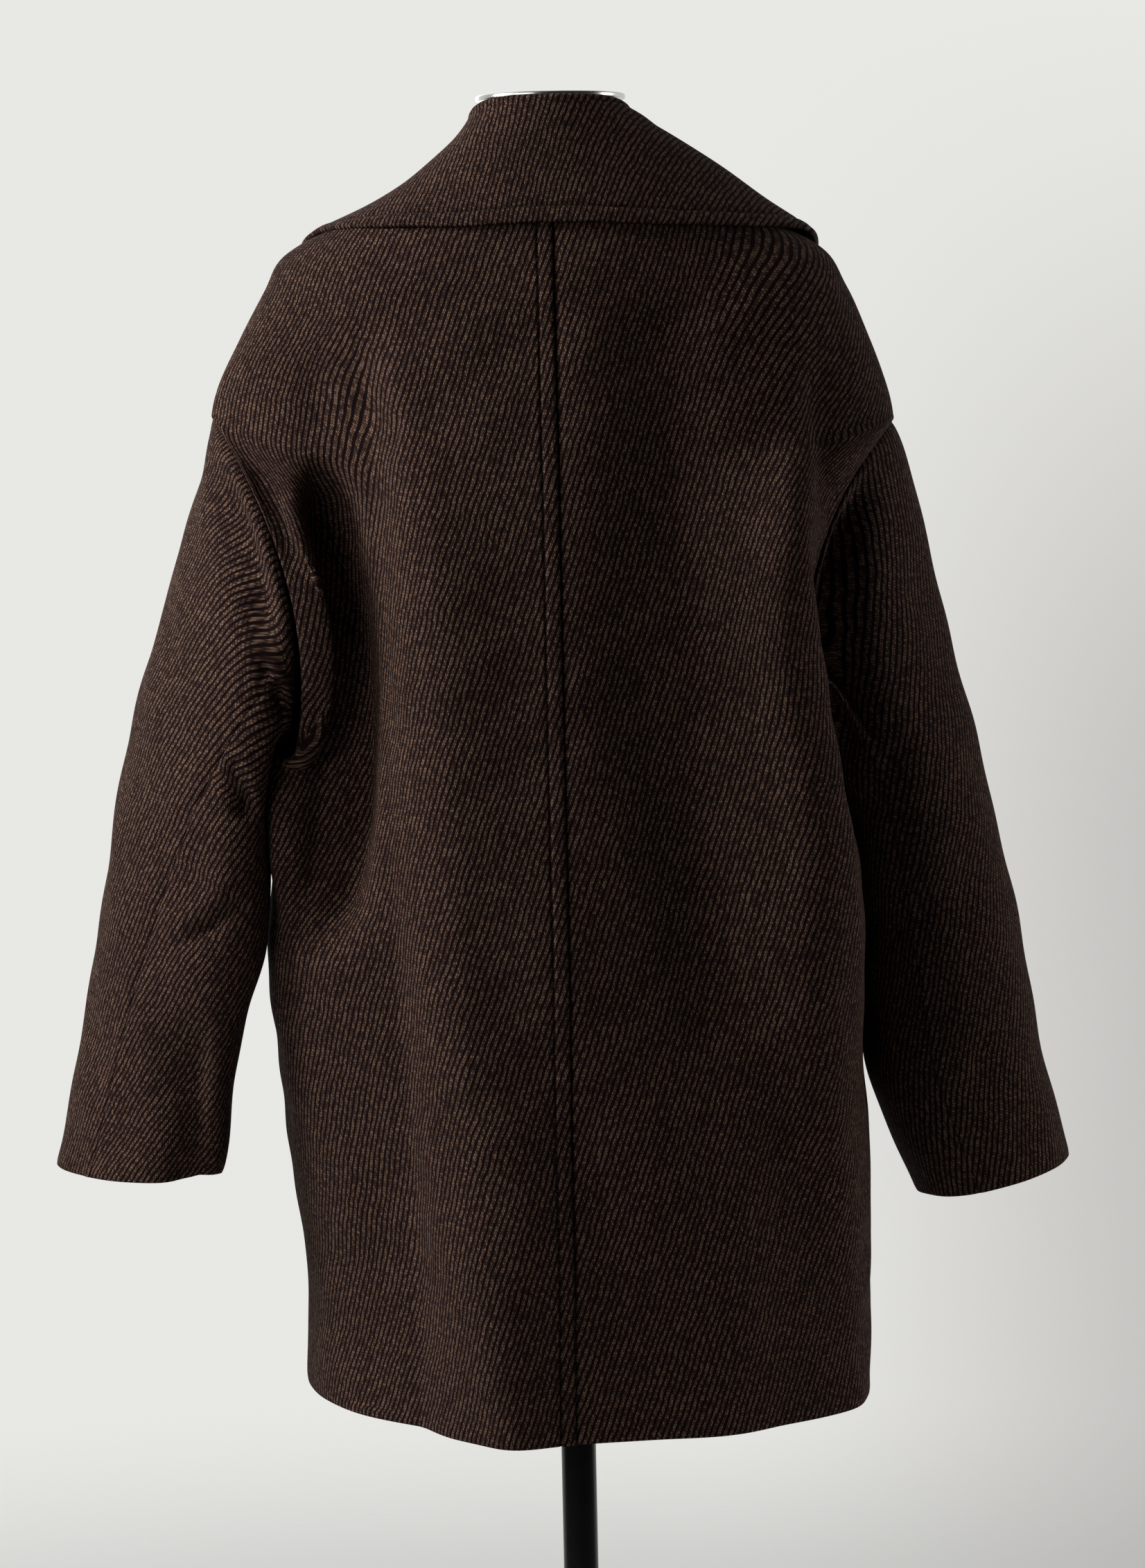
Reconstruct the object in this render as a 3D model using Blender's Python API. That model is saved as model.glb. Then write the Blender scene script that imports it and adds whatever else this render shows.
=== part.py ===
"""Long drop-shoulder coat on a limbless dress form.

Each sewn panel is a cloth wall lofted through rows that run from the hem to the neckline.
Metres, +Z up. The origin is on the floor under the pole, the coat's front looks along -Y
and the wearer's left is +X.
"""
import math
from collections import namedtuple
from functools import lru_cache

import bmesh
import bpy
import numpy as np
from mathutils import Vector

# Cloth thicknesses and the gaps between pieces
CLOTH_WALL = 0.0022
COLLAR_WALL = 0.0036
SEAM_GAP = 0.0003
REST_GAP = 0.0005
LAP_GAP = 0.0008

# Centre-back welt, front overlap and buttons; LAP_FULL and LAP_START are the distances from the
# centre front where the right front lies fully on the left one and where it starts to rise
WELT_WIDTH = 0.0112
WELT_EDGE = 0.0010
WELT_RISE = 0.0011
FRONT_OVERLAP = 0.028
LAP_FULL = 0.0294
LAP_START = 0.080
BUTTON_RADIUS = 0.0145
BUTTON_THICK = 0.0042
BUTTON_RIM = 0.0012
BUTTON_SIDES = 18
BUTTON_LEVELS = (1.85, 1.0, 0.605)

# Mesh density, and the steps that directions are measured over
ROW_SAMPLES = 61
AROUND_STEP = 0.004
LEVEL_STEP = 0.016
LOWER_ROWS = 9
SHOULDER_ROWS = 8
BACK_COLUMNS = 24
FRONT_COLUMNS = 9
SLEEVE_STEPS = 14
SLEEVE_STEP_POWER = 1.15
COLLAR_COLUMNS = 30
FORM_SIDES = 28

# Levels of the body: 0 hem, 1 underarm, 2 dropped shoulder point, 3 neckline.
# Each row gives the centre back, the centre front and the two side points of one ring,
# and how square the ring is from its centre to each side (2 is an ellipse).
BodyRow = namedtuple("BodyRow", "level z_back y_back z_front y_front "
                     "x_left y_left z_left square_left x_right y_right z_right square_right")
BODY_ROWS = [
    BodyRow(0.00, 0.577, 0.146, 0.582, -0.155, 0.1968, -0.055, 0.582, 2.30, 0.2095, -0.010, 0.580, 2.9),
    BodyRow(0.20, 0.665, 0.146, 0.670, -0.156, 0.1940, -0.045, 0.669, 2.25, 0.2118, -0.010, 0.665, 3.0),
    BodyRow(0.40, 0.755, 0.145, 0.760, -0.156, 0.2028, -0.035, 0.757, 2.25, 0.2116, -0.010, 0.752, 3.2),
    BodyRow(0.55, 0.822, 0.144, 0.826, -0.155, 0.2088, -0.018, 0.824, 2.25, 0.2085, -0.002, 0.818, 3.6),
    BodyRow(0.72, 0.900, 0.142, 0.900, -0.154, 0.2130, -0.004, 0.900, 2.30, 0.2068, 0.003, 0.892, 3.9),
    BodyRow(0.87, 0.967, 0.140, 0.962, -0.152, 0.2065, 0.003, 0.972, 2.40, 0.2035, 0.005, 0.963, 4.2),
    BodyRow(1.00, 1.030, 0.137, 1.020, -0.150, 0.1920, 0.000, 1.035, 2.45, 0.1890, 0.000, 1.025, 4.6),
    BodyRow(1.50, 1.135, 0.131, 1.120, -0.146, 0.2165, 0.000, 1.159, 2.35, 0.2110, 0.000, 1.149, 5.5),
    BodyRow(2.00, 1.245, 0.122, 1.220, -0.138, 0.2430, 0.000, 1.283, 2.00, 0.2345, 0.000, 1.273, 2.5),
    BodyRow(2.30, 1.300, 0.115, 1.275, -0.128, 0.2205, 0.000, 1.338, 2.05, 0.2175, 0.000, 1.332, 2.4),
    BodyRow(2.48, 1.331, 0.109, 1.305, -0.121, 0.2025, 0.000, 1.371, 2.15, 0.2040, 0.000, 1.365, 2.4),
    BodyRow(2.60, 1.352, 0.105, 1.325, -0.115, 0.1905, 0.000, 1.392, 2.20, 0.1925, 0.000, 1.388, 2.2),
    BodyRow(2.80, 1.402, 0.088, 1.372, -0.092, 0.1320, 0.000, 1.4235, 2.2, 0.1340, 0.000, 1.4185, 2.2),
    BodyRow(3.00, 1.450, 0.060, 1.420, -0.064, 0.0710, 0.000, 1.4525, 2.1, 0.0710, 0.000, 1.4490, 2.1),
]
SIDE_PLACE = 0.5
UNDERARM_LEVEL = 1.0
DROP_LEVEL = 2.0
NECK_LEVEL = 3.0
ARMHOLE_TURN_IN = math.radians(28)

# Sleeve rings from the armhole (0) to the cuff (1): the ring's outer and inner points, its
# middle depth, its half depth, how far its front and back dip towards the body, and how far
# its inner line lies behind the middle and its outer line before it.
SleeveRow = namedtuple("SleeveRow", "along x_out z_out x_in z_in y_mid half_depth saddle lean")
SLEEVE_TABLES = {
    "left": [
        SleeveRow(0.00, 0.2430, 1.2830, 0.1920, 1.0350, 0.000, 0.086, 0.0290, 0.000),
        SleeveRow(0.07, 0.2542, 1.2498, 0.1947, 1.0315, -0.002, 0.084, 0.0200, 0.010),
        SleeveRow(0.18, 0.2706, 1.1963, 0.1973, 1.0157, -0.003, 0.080, 0.0110, 0.022),
        SleeveRow(0.34, 0.2926, 1.1183, 0.2026, 0.9891, -0.002, 0.073, 0.0060, 0.032),
        SleeveRow(0.52, 0.3126, 1.0389, 0.2074, 0.9518, 0.000, 0.067, 0.0020, 0.038),
        SleeveRow(0.70, 0.3304, 0.9573, 0.2121, 0.9038, -0.002, 0.062, 0.0000, 0.040),
        SleeveRow(0.86, 0.3503, 0.8582, 0.2275, 0.8438, -0.006, 0.058, 0.0000, 0.038),
        SleeveRow(1.00, 0.3740, 0.7430, 0.2480, 0.7463, -0.012, 0.054, 0.0000, 0.034),
    ],
    "right": [
        SleeveRow(0.00, 0.2345, 1.2730, 0.1890, 1.0250, 0.000, 0.086, 0.0385, 0.000),
        SleeveRow(0.07, 0.2442, 1.2480, 0.1930, 1.0200, -0.008, 0.086, 0.0270, 0.000),
        SleeveRow(0.18, 0.2596, 1.1893, 0.1978, 1.0000, -0.018, 0.085, 0.0140, 0.000),
        SleeveRow(0.34, 0.2794, 1.1153, 0.2038, 0.9680, -0.026, 0.082, 0.0060, 0.000),
        SleeveRow(0.52, 0.2989, 1.0248, 0.2075, 0.9220, -0.034, 0.078, 0.0020, 0.000),
        SleeveRow(0.70, 0.3173, 0.9330, 0.2092, 0.8680, -0.040, 0.074, 0.0000, 0.000),
        SleeveRow(0.86, 0.3376, 0.8329, 0.2163, 0.7950, -0.045, 0.070, 0.0000, 0.000),
        SleeveRow(1.00, 0.3631, 0.7345, 0.2482, 0.7085, -0.050, 0.064, 0.0000, 0.000),
    ],
}
# Turn of the sleeve seams round the ring, at the armhole and at the cuff, in degrees
SLEEVE_SEAM_TURN = 115.0
CUFF_SEAM_TURN = {"left": 57.0, "right": 106.0}
TOP_STEPS = 7
UNDER_STEPS = 4

# The largest folds of the back: a curve through three points, half widths towards the wearer's
# left and right, and depth (a valley is positive). fade is the length over which an end of the
# fold dies out, 0 runs off the edge.
Fold = namedtuple("Fold", "x_top z_top x_mid z_mid x_low z_low width_left width_right depth "
                  "fade_top fade_low")
BACK_FOLDS = [
    Fold(0.136, 1.365, 0.1205, 0.950, 0.1125, 0.577, 0.1000, 0.0165, 0.023, 0.090, 0.000),
    Fold(0.166, 1.270, 0.157, 1.090, 0.188, 0.900, 0.0150, 0.0250, 0.017, 0.080, 0.090),
    Fold(0.066, 0.830, 0.056, 0.700, 0.045, 0.570, 0.0340, 0.0450, -0.022, 0.230, 0.000),
    Fold(0.088, 1.330, 0.070, 0.960, 0.060, 0.570, 0.0240, 0.0700, -0.010, 0.200, 0.150),
    Fold(-0.076, 1.385, -0.084, 1.050, -0.094, 0.740, 0.0450, 0.0300, 0.012, 0.070, 0.180),
    Fold(-0.166, 1.320, -0.172, 1.050, -0.190, 0.620, 0.0340, 0.0160, -0.015, 0.120, 0.200),
    Fold(-0.158, 0.860, -0.160, 0.720, -0.164, 0.577, 0.0300, 0.0300, 0.013, 0.120, 0.000),
]
FOLD_SEAM_FADE = 0.12

# Collar: fold line round the neck, and for places round the neck (0 centre back, 0.5 shoulder,
# 1 centre front, left positive) the body level under its edge, the sag of its fall, and how
# far it stays above the body.
FOLD_RADIUS_X = 0.0478
FOLD_BACK_Y = 0.0465
FOLD_FRONT_Y = -0.0495
FOLD_BACK_Z = 1.4935
FOLD_FRONT_Z = 1.4560
FOLD_DROP_POWER = 2.0
FOLD_BEND = 0.0042
STAND_STEPS = 3
BEND_STEPS = 4
FALL_STEPS = 5
SAG_POWER = 0.6
COLLAR_END_TOP = 0.965
COLLAR_END_EDGE = 0.900
CollarRow = namedtuple("CollarRow", "around edge_level sag lift")
COLLAR_ROWS = [
    CollarRow(-1.00, 2.42, 0.000, 0.0044),
    CollarRow(-0.75, 2.52, 0.000, 0.0044),
    CollarRow(-0.50, 2.665, -0.004, 0.0040),
    CollarRow(-0.25, 2.785, -0.002, 0.0020),
    CollarRow(0.00, 2.83, 0.000, 0.0012),
    CollarRow(0.25, 2.785, 0.003, 0.0012),
    CollarRow(0.50, 2.69, 0.012, 0.0012),
    CollarRow(0.75, 2.52, 0.004, 0.0040),
    CollarRow(1.00, 2.42, 0.000, 0.0044),
]

# Dress form: rings below the shoulders, then the coat's own shoulder rows moved inwards
FormRow = namedtuple("FormRow", "z half_x y_back y_front")
FORM_ROWS = [
    FormRow(0.800, 0.150, 0.090, -0.095),
    FormRow(0.815, 0.163, 0.099, -0.106),
    FormRow(0.870, 0.170, 0.104, -0.110),
    FormRow(0.950, 0.152, 0.092, -0.100),
    FormRow(1.030, 0.126, 0.076, -0.090),
    FormRow(1.120, 0.138, 0.085, -0.105),
    FormRow(1.200, 0.152, 0.094, -0.124),
    FormRow(1.280, 0.164, 0.097, -0.117),
    FormRow(1.330, 0.168, 0.092, -0.098),
]
FORM_SHOULDER_LEVELS = (2.625, 2.75, 2.875, 3.0)
FORM_NECK_SHARES = (0.12, 0.55, 1.00)
FORM_NECK_TOP = FormRow(1.4982, 0.0432, 0.0300, -0.0460)
SHOULDER_REST = 0.10
FORM_SINK = 0.0030
NECK_SINK = 0.0012
NECK_CLEAR = 0.0024

# Neck cap, pole and base
CAP_RADIUS = 0.0525
CAP_BOTTOM = 1.4985
CAP_THICK = 0.0036
CAP_EDGE = 0.0011
CAP_MIDDLE_Y = -0.012
POLE_RADIUS = 0.0125
BASE_RADIUS = 0.155
BASE_RIM = 0.010
BASE_TOP = 0.024
BASE_HUB_RADIUS = 0.030
ROUND_SIDES = 40

# Shading and welding, and how alike two panels' directions are where their seam is mitred
# (the length of their mean)
SHARP_ANGLE = math.radians(40)
MITRE_LIMIT = 0.80
MERGE_DISTANCE = 0.00001


def clear_scene():
    """Start from an empty scene."""
    for item in list(bpy.data.objects):
        bpy.data.objects.remove(item, do_unlink=True)


def smooth_step(low, high, value):
    """Ease from 0 at low to 1 at high."""
    s = min(max((value - low) / (high - low), 0.0), 1.0)
    return s * s * (3.0 - 2.0 * s)


def along(rows, column, place):
    """Read one column of a table on a smooth curve through its rows."""
    places = [row[0] for row in rows]
    values = [getattr(row, column) for row in rows]
    slopes = np.gradient(values, places)
    low = int(np.clip(np.searchsorted(places, place, side="right") - 1, 0, len(places) - 2))
    span = places[low + 1] - places[low]
    s = (place - places[low]) / span
    rise = s * s * (3.0 - 2.0 * s)
    start = values[low] * (1.0 - rise) + span * slopes[low] * s * (1.0 - s) ** 2
    end = values[low + 1] * rise - span * slopes[low + 1] * s * s * (1.0 - s)
    return start + end


def side_sign(side):
    return 1.0 if side == "left" else -1.0


def sleeve_point(side, place, turn):
    """Point on a sleeve: turn 0 is its outer line, pi the underarm line, the back positive."""
    rows = SLEEVE_TABLES[side]
    outer = np.array([along(rows, "x_out", place), 0.0, along(rows, "z_out", place)])
    inner = np.array([along(rows, "x_in", place), 0.0, along(rows, "z_in", place)])
    point = (outer + inner) / 2.0 + (outer - inner) / 2.0 * math.cos(turn)
    point[0] -= along(rows, "saddle", place) * math.sin(turn) ** 2
    point[1] = along(rows, "y_mid", place) + along(rows, "half_depth", place) * math.sin(turn)
    point[1] -= along(rows, "lean", place) * math.cos(turn)
    point[0] *= side_sign(side)
    return point


def row_end(side, face, level):
    """Outer end of a body row: side seam, armhole or shoulder seam."""
    if UNDERARM_LEVEL < level < DROP_LEVEL:
        turn = math.pi * (DROP_LEVEL - level)
        return sleeve_point(side, 0.0, turn if face == "back" else -turn)
    x = along(BODY_ROWS, "x_" + side, level) * side_sign(side)
    return np.array([x, along(BODY_ROWS, "y_" + side, level), along(BODY_ROWS, "z_" + side, level)])


@lru_cache(maxsize=None)
def fold_bend(fold):
    """Curve through a fold's three points, which gives x from z."""
    heights = (fold.z_low, fold.z_mid, fold.z_top)
    return np.polyfit(heights, (fold.x_low, fold.x_mid, fold.x_top), 2)


def fold_depth(x, z):
    """Sum of the back's folds at a place, positive into the coat."""
    total = 0.0
    for fold in BACK_FOLDS:
        aside = x - np.polyval(fold_bend(fold), min(max(z, fold.z_low), fold.z_top))
        width = fold.width_left if aside > 0.0 else fold.width_right
        fade = smooth_step(0.0, fold.fade_top, fold.z_top - z)
        if fold.fade_low > 0.0:
            fade *= smooth_step(0.0, fold.fade_low, z - fold.z_low)
        total += fold.depth * fade * math.exp(-(aside / width) ** 2)
    return total


@lru_cache(maxsize=None)
def body_row(side, face, level):
    """One quarter of a body ring, from its centre line to its outer end, and its lengths."""
    end = row_end(side, face, level)
    y_centre = along(BODY_ROWS, "y_" + face, level)
    z_centre = along(BODY_ROWS, "z_" + face, level)
    power = 2.0 / along(BODY_ROWS, "square_" + side, level)
    reach = math.pi / 2.0
    if UNDERARM_LEVEL < level < DROP_LEVEL:
        reach -= ARMHOLE_TURN_IN * math.sin(math.pi * (level - UNDERARM_LEVEL))
    floor = math.cos(reach) ** power
    points = []
    for share in np.linspace(0.0, 1.0, ROW_SAMPLES):
        angle = reach * share ** (1.0 / power)
        across = (math.sin(angle) / math.sin(reach)) ** power
        ahead = (math.cos(angle) ** power - floor) / (1.0 - floor)
        point = np.array([end[0] * across, end[1] + (y_centre - end[1]) * ahead,
                          z_centre + (end[2] - z_centre) * across ** 2])
        points.append(point)
    points = np.array(points)
    steps = np.linalg.norm(np.diff(points, axis=0), axis=1)
    lengths = np.concatenate([[0.0], np.cumsum(steps)])
    if face == "back":
        for i, point in enumerate(points):
            fade = smooth_step(0.0, FOLD_SEAM_FADE, 1.0 - lengths[i] / lengths[-1])
            point[1] -= fold_depth(point[0], point[2]) * fade
    return points, lengths


def body_point(around, level, on_front=False):
    """Point of the coat's outside: 0 centre back, 0.5 side, 1 centre front, left positive.

    The side place itself belongs to the back unless on_front says otherwise.
    """
    if around > 1.0:
        around -= 2.0
    elif around < -1.0:
        around += 2.0
    side = "left" if around >= 0.0 else "right"
    distance = abs(around)
    face = "front" if distance > SIDE_PLACE or on_front else "back"
    share = 2.0 * distance if face == "back" else 2.0 * (1.0 - distance)
    points, lengths = body_row(side, face, level)
    return np.array([np.interp(share * lengths[-1], lengths, points[:, k]) for k in range(3)])


def quarter_length(side, face, level):
    return body_row(side, face, level)[1][-1]


def body_normal(around, level):
    """Outward direction of the coat's outside at a place."""
    low, high = max(level - LEVEL_STEP, 0.0), min(level + LEVEL_STEP, NECK_LEVEL)
    across = body_point(around + AROUND_STEP, level) - body_point(around - AROUND_STEP, level)
    upward = body_point(around, high) - body_point(around, low)
    normal = np.cross(upward, across)
    return normal / np.linalg.norm(normal)


def armhole_turns():
    """Turns round the armhole where body rows and sleeve columns meet, from top to underarm."""
    seam = math.radians(SLEEVE_SEAM_TURN)
    top = np.linspace(0.0, seam, TOP_STEPS + 1)
    under = np.linspace(seam, math.pi, UNDER_STEPS + 1)
    return np.concatenate([top, under[1:]])


def body_levels():
    """Levels of the body rows, hem to neckline."""
    lower = np.linspace(0.0, UNDERARM_LEVEL, LOWER_ROWS + 1)
    armhole = DROP_LEVEL - armhole_turns()[::-1] / math.pi
    shoulder = np.linspace(DROP_LEVEL, NECK_LEVEL, SHOULDER_ROWS + 1)
    return [float(level) for level in (*lower, *armhole[1:], *shoulder[1:])]


def back_columns(side, level):
    """Places round one row of a back panel: the welt's two edges, then even steps."""
    length = quarter_length(side, "back", level)
    welt = np.array([0.0, WELT_WIDTH, WELT_WIDTH + WELT_EDGE]) / length
    rest = np.linspace(welt[-1], 1.0, BACK_COLUMNS + 1)[1:]
    return np.concatenate([welt, rest]) / 2.0 * side_sign(side)


def front_columns(side, level):
    """Places round one row of a front panel, past the centre front by the overlap."""
    other = "right" if side == "left" else "left"
    past = 1.0 + FRONT_OVERLAP / quarter_length(other, "front", level) / 2.0
    lap = 1.0 - FRONT_OVERLAP / quarter_length(side, "front", level) / 2.0
    places = np.concatenate([np.linspace(SIDE_PLACE, lap, FRONT_COLUMNS), [1.0, past]])
    return places * side_sign(side)


def back_grid(side):
    return np.array([[body_point(around, level) for around in back_columns(side, level)]
                     for level in body_levels()])


def front_grid(side):
    """Front panel; the right one is lifted over the left one where they overlap."""
    rows = []
    for level in body_levels():
        row = []
        columns = front_columns(side, level)
        length = quarter_length(side, "front", level) * 2.0
        for around in columns:
            point = body_point(around, level, on_front=True)
            if side == "right":
                to_centre = (1.0 - abs(around)) * length
                lift = 1.0 - smooth_step(LAP_FULL, LAP_START, to_centre)
                point = point + body_normal(around, level) * (CLOTH_WALL + LAP_GAP) * lift
            row.append(point)
        rows.append(row)
    return np.array(rows)


def sleeve_grids(side):
    """Outer and under piece of one sleeve, rows from the armhole to the cuff."""
    upper, under = [], []
    for place in np.linspace(0.0, 1.0, SLEEVE_STEPS + 1) ** SLEEVE_STEP_POWER:
        back_turn = SLEEVE_SEAM_TURN + (CUFF_SEAM_TURN[side] - SLEEVE_SEAM_TURN) * place
        back_seam = math.radians(back_turn)
        front_seam = math.radians(SLEEVE_SEAM_TURN)
        upper_turns = np.concatenate([np.linspace(-front_seam, 0.0, TOP_STEPS + 1),
                                      np.linspace(0.0, back_seam, TOP_STEPS + 1)[1:]])
        under_turns = np.concatenate([np.linspace(back_seam, math.pi, UNDER_STEPS + 1),
                                      np.linspace(math.pi, 2.0 * math.pi - front_seam, UNDER_STEPS + 1)[1:]])
        upper.append([sleeve_point(side, place, turn) for turn in upper_turns])
        under.append([sleeve_point(side, place, turn) for turn in under_turns])
    return np.array(upper), np.array(under)


def grid_normals(grid):
    """Directions square to a grid of points, weighted by its faces, away from its hollow side."""
    faces = np.cross(grid[1:, 1:] - grid[:-1, :-1], grid[1:, :-1] - grid[:-1, 1:])
    normals = np.zeros_like(grid)
    for low_row, low_column in ((0, 0), (0, 1), (1, 0), (1, 1)):
        rows = slice(low_row, low_row + faces.shape[0])
        columns = slice(low_column, low_column + faces.shape[1])
        normals[rows, columns] += faces
    normals /= np.linalg.norm(normals, axis=2, keepdims=True)
    outwards = np.sum(normals * (grid - grid.mean(axis=(0, 1))))
    return normals if outwards > 0.0 else -normals


def share_seam_normals(names, grids, normals, limit=0.0):
    """Give points that joined panels share one direction, where it is near enough to their own."""
    meeting = {}
    for name in names:
        for place in border_places(grids[name]):
            key = tuple(np.round(grids[name][place], 5) + 0.0)
            meeting.setdefault(key, []).append((name, place))
    for shared in meeting.values():
        mean = sum(normals[name][place] for name, place in shared) / len(shared)
        length = np.linalg.norm(mean)
        if length > limit:
            for name, place in shared:
                normals[name][place] = mean / length


def border_places(grid):
    rows, columns = grid.shape[:2]
    for i in range(rows):
        for j in range(columns):
            if i in (0, rows - 1) or j in (0, columns - 1):
                yield i, j


def seam_insets(grid):
    """Small moves of a panel's border points into the panel, half a seam gap each."""
    moves = np.zeros_like(grid)
    for edge, inner in ((0, 1), (-1, -2)):
        for axis in (0, 1):
            border = np.take(grid, edge, axis=axis)
            step = np.take(grid, inner, axis=axis) - border
            step *= SEAM_GAP / 2.0 / np.linalg.norm(step, axis=1, keepdims=True)
            if axis == 0:
                moves[edge] += step
            else:
                moves[:, edge] += step
    return moves


def make_material(name, colour, roughness, metallic=0.0):
    material = bpy.data.materials.new(name)
    material.use_nodes = True
    shader = material.node_tree.nodes["Principled BSDF"]
    shader.inputs["Base Color"].default_value = (*colour, 1.0)
    shader.inputs["Roughness"].default_value = roughness
    shader.inputs["Metallic"].default_value = metallic
    return material


def add_object(name, bm, material, collection):
    """Make a named, closed, outward-facing object from a bmesh."""
    bmesh.ops.recalc_face_normals(bm, faces=bm.faces)
    mesh = bpy.data.meshes.new(name)
    bm.to_mesh(mesh)
    bm.free()
    mesh.materials.append(material)
    mesh.shade_smooth()
    mesh.set_sharp_from_angle(angle=SHARP_ANGLE)
    item = bpy.data.objects.new(name, mesh)
    collection.objects.link(item)
    return item


def cloth_wall(name, outside, inside, material, collection):
    """Closed wall between two grids of points, with rims round the four edges."""
    bm = bmesh.new()
    rows, columns = outside.shape[:2]
    sheets = [[[bm.verts.new(grid[i, j]) for j in range(columns)] for i in range(rows)]
              for grid in (outside, inside)]
    for sheet in sheets:
        for i in range(rows - 1):
            for j in range(columns - 1):
                bm.faces.new((sheet[i][j], sheet[i][j + 1], sheet[i + 1][j + 1], sheet[i + 1][j]))
    rim = [(0, j) for j in range(columns)]
    rim += [(i, columns - 1) for i in range(1, rows)]
    rim += [(rows - 1, j) for j in range(columns - 2, -1, -1)]
    rim += [(i, 0) for i in range(rows - 2, 0, -1)]
    for low, high in zip(rim, rim[1:] + rim[:1]):
        if tuple(outside[high][::-1]) < tuple(outside[low][::-1]):
            low, high = high, low
        corners = [sheets[k][i][j] for k, (i, j) in ((0, low), (0, high), (1, high), (1, low))]
        bm.faces.new((corners[0], corners[1], corners[2]))
        bm.faces.new((corners[0], corners[2], corners[3]))
    return add_object(name, bm, material, collection)


def make_panels(cloth, collection):
    """All body and sleeve panels, mitred where they are sewn together."""
    grids = {}
    for side in ("left", "right"):
        grids["back_" + side] = back_grid(side)
        grids["front_" + side] = front_grid(side)
        grids["sleeve_upper_" + side], grids["sleeve_under_" + side] = sleeve_grids(side)
    normals = {name: grid_normals(grid) for name, grid in grids.items()}
    share_seam_normals([name for name in grids if not name.startswith("sleeve")], grids, normals)
    for side in ("left", "right"):
        sleeve = ["sleeve_upper_" + side, "sleeve_under_" + side]
        share_seam_normals(sleeve, grids, normals)
        share_seam_normals(["back_" + side, "front_" + side] + sleeve, grids, normals, MITRE_LIMIT)
    for name, grid in grids.items():
        moves = seam_insets(grid)
        outside = grid + moves
        inside = outside - normals[name] * CLOTH_WALL
        if name == "back_left":
            outside[:, :2] += normals[name][:, :2] * WELT_RISE
        cloth_wall(name, outside, inside, cloth, collection)


def neck_ring_point(around):
    """Middle of the collar's stand at the fold line."""
    angle = math.pi * around
    drop = ((1.0 - math.cos(angle)) / 2.0) ** FOLD_DROP_POWER
    y = (FOLD_BACK_Y + FOLD_FRONT_Y) / 2.0 + (FOLD_BACK_Y - FOLD_FRONT_Y) / 2.0 * math.cos(angle)
    z = FOLD_BACK_Z + (FOLD_FRONT_Z - FOLD_BACK_Z) * drop
    return np.array([FOLD_RADIUS_X * math.sin(angle), y, z])


def neck_outward(around):
    return np.array([math.sin(math.pi * around), math.cos(math.pi * around), 0.0])


def stand_point(around, share):
    """Middle of the collar's stand, from the neck seam (0) to the fold line (1)."""
    seam = body_point(around, NECK_LEVEL) - body_normal(around, NECK_LEVEL) * CLOTH_WALL / 2.0
    seam[2] += SEAM_GAP + CLOTH_WALL
    return seam + (neck_ring_point(around) - seam) * share


def collar_profile(place):
    """One section of the collar, from the neck seam over the fold to the edge."""
    top_place = place * COLLAR_END_TOP
    edge_place = place
    if abs(place) > SIDE_PLACE:
        share = (abs(place) - SIDE_PLACE) / (1.0 - SIDE_PLACE)
        edge_place = math.copysign(SIDE_PLACE + share * (COLLAR_END_EDGE - SIDE_PLACE), place)
    outward = neck_outward(top_place)
    points = [stand_point(top_place, share) for share in np.linspace(0.0, 1.0, STAND_STEPS + 1)[:-1]]
    centre = neck_ring_point(top_place) + outward * FOLD_BEND
    for angle in np.linspace(math.pi, 0.0, BEND_STEPS + 1):
        bend = outward * math.cos(angle) + np.array([0.0, 0.0, math.sin(angle)])
        points.append(centre + bend * FOLD_BEND)
    level = along(COLLAR_ROWS, "edge_level", place)
    lift = along(COLLAR_ROWS, "lift", place) + COLLAR_WALL / 2.0
    edge = body_point(edge_place, level) + body_normal(edge_place, level) * lift
    start = points[-1]
    for share in np.linspace(0.0, 1.0, FALL_STEPS + 1)[1:]:
        point = start + (edge - start) * share
        point[2] -= along(COLLAR_ROWS, "sag", place) * math.sin(math.pi * share ** SAG_POWER)
        under_place = top_place + (edge_place - top_place) * share
        under_level = NECK_LEVEL + (level - NECK_LEVEL) * share
        facing = body_normal(under_place, under_level)
        height = np.dot(point - body_point(under_place, under_level), facing)
        points.append(point + facing * max(lift - height, 0.0))
    return points


def make_collar(cloth, collection):
    """Turn-down collar: stand and fall in one folded wall."""
    places = np.linspace(-1.0, 1.0, COLLAR_COLUMNS + 1)
    grid = np.array([collar_profile(place) for place in places])
    normals = np.cross(np.gradient(grid, axis=0), np.gradient(grid, axis=1))
    normals /= np.linalg.norm(normals, axis=2, keepdims=True)
    half = normals * COLLAR_WALL / 2.0
    return cloth_wall("collar", grid + half, grid - half, cloth, collection)


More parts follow.
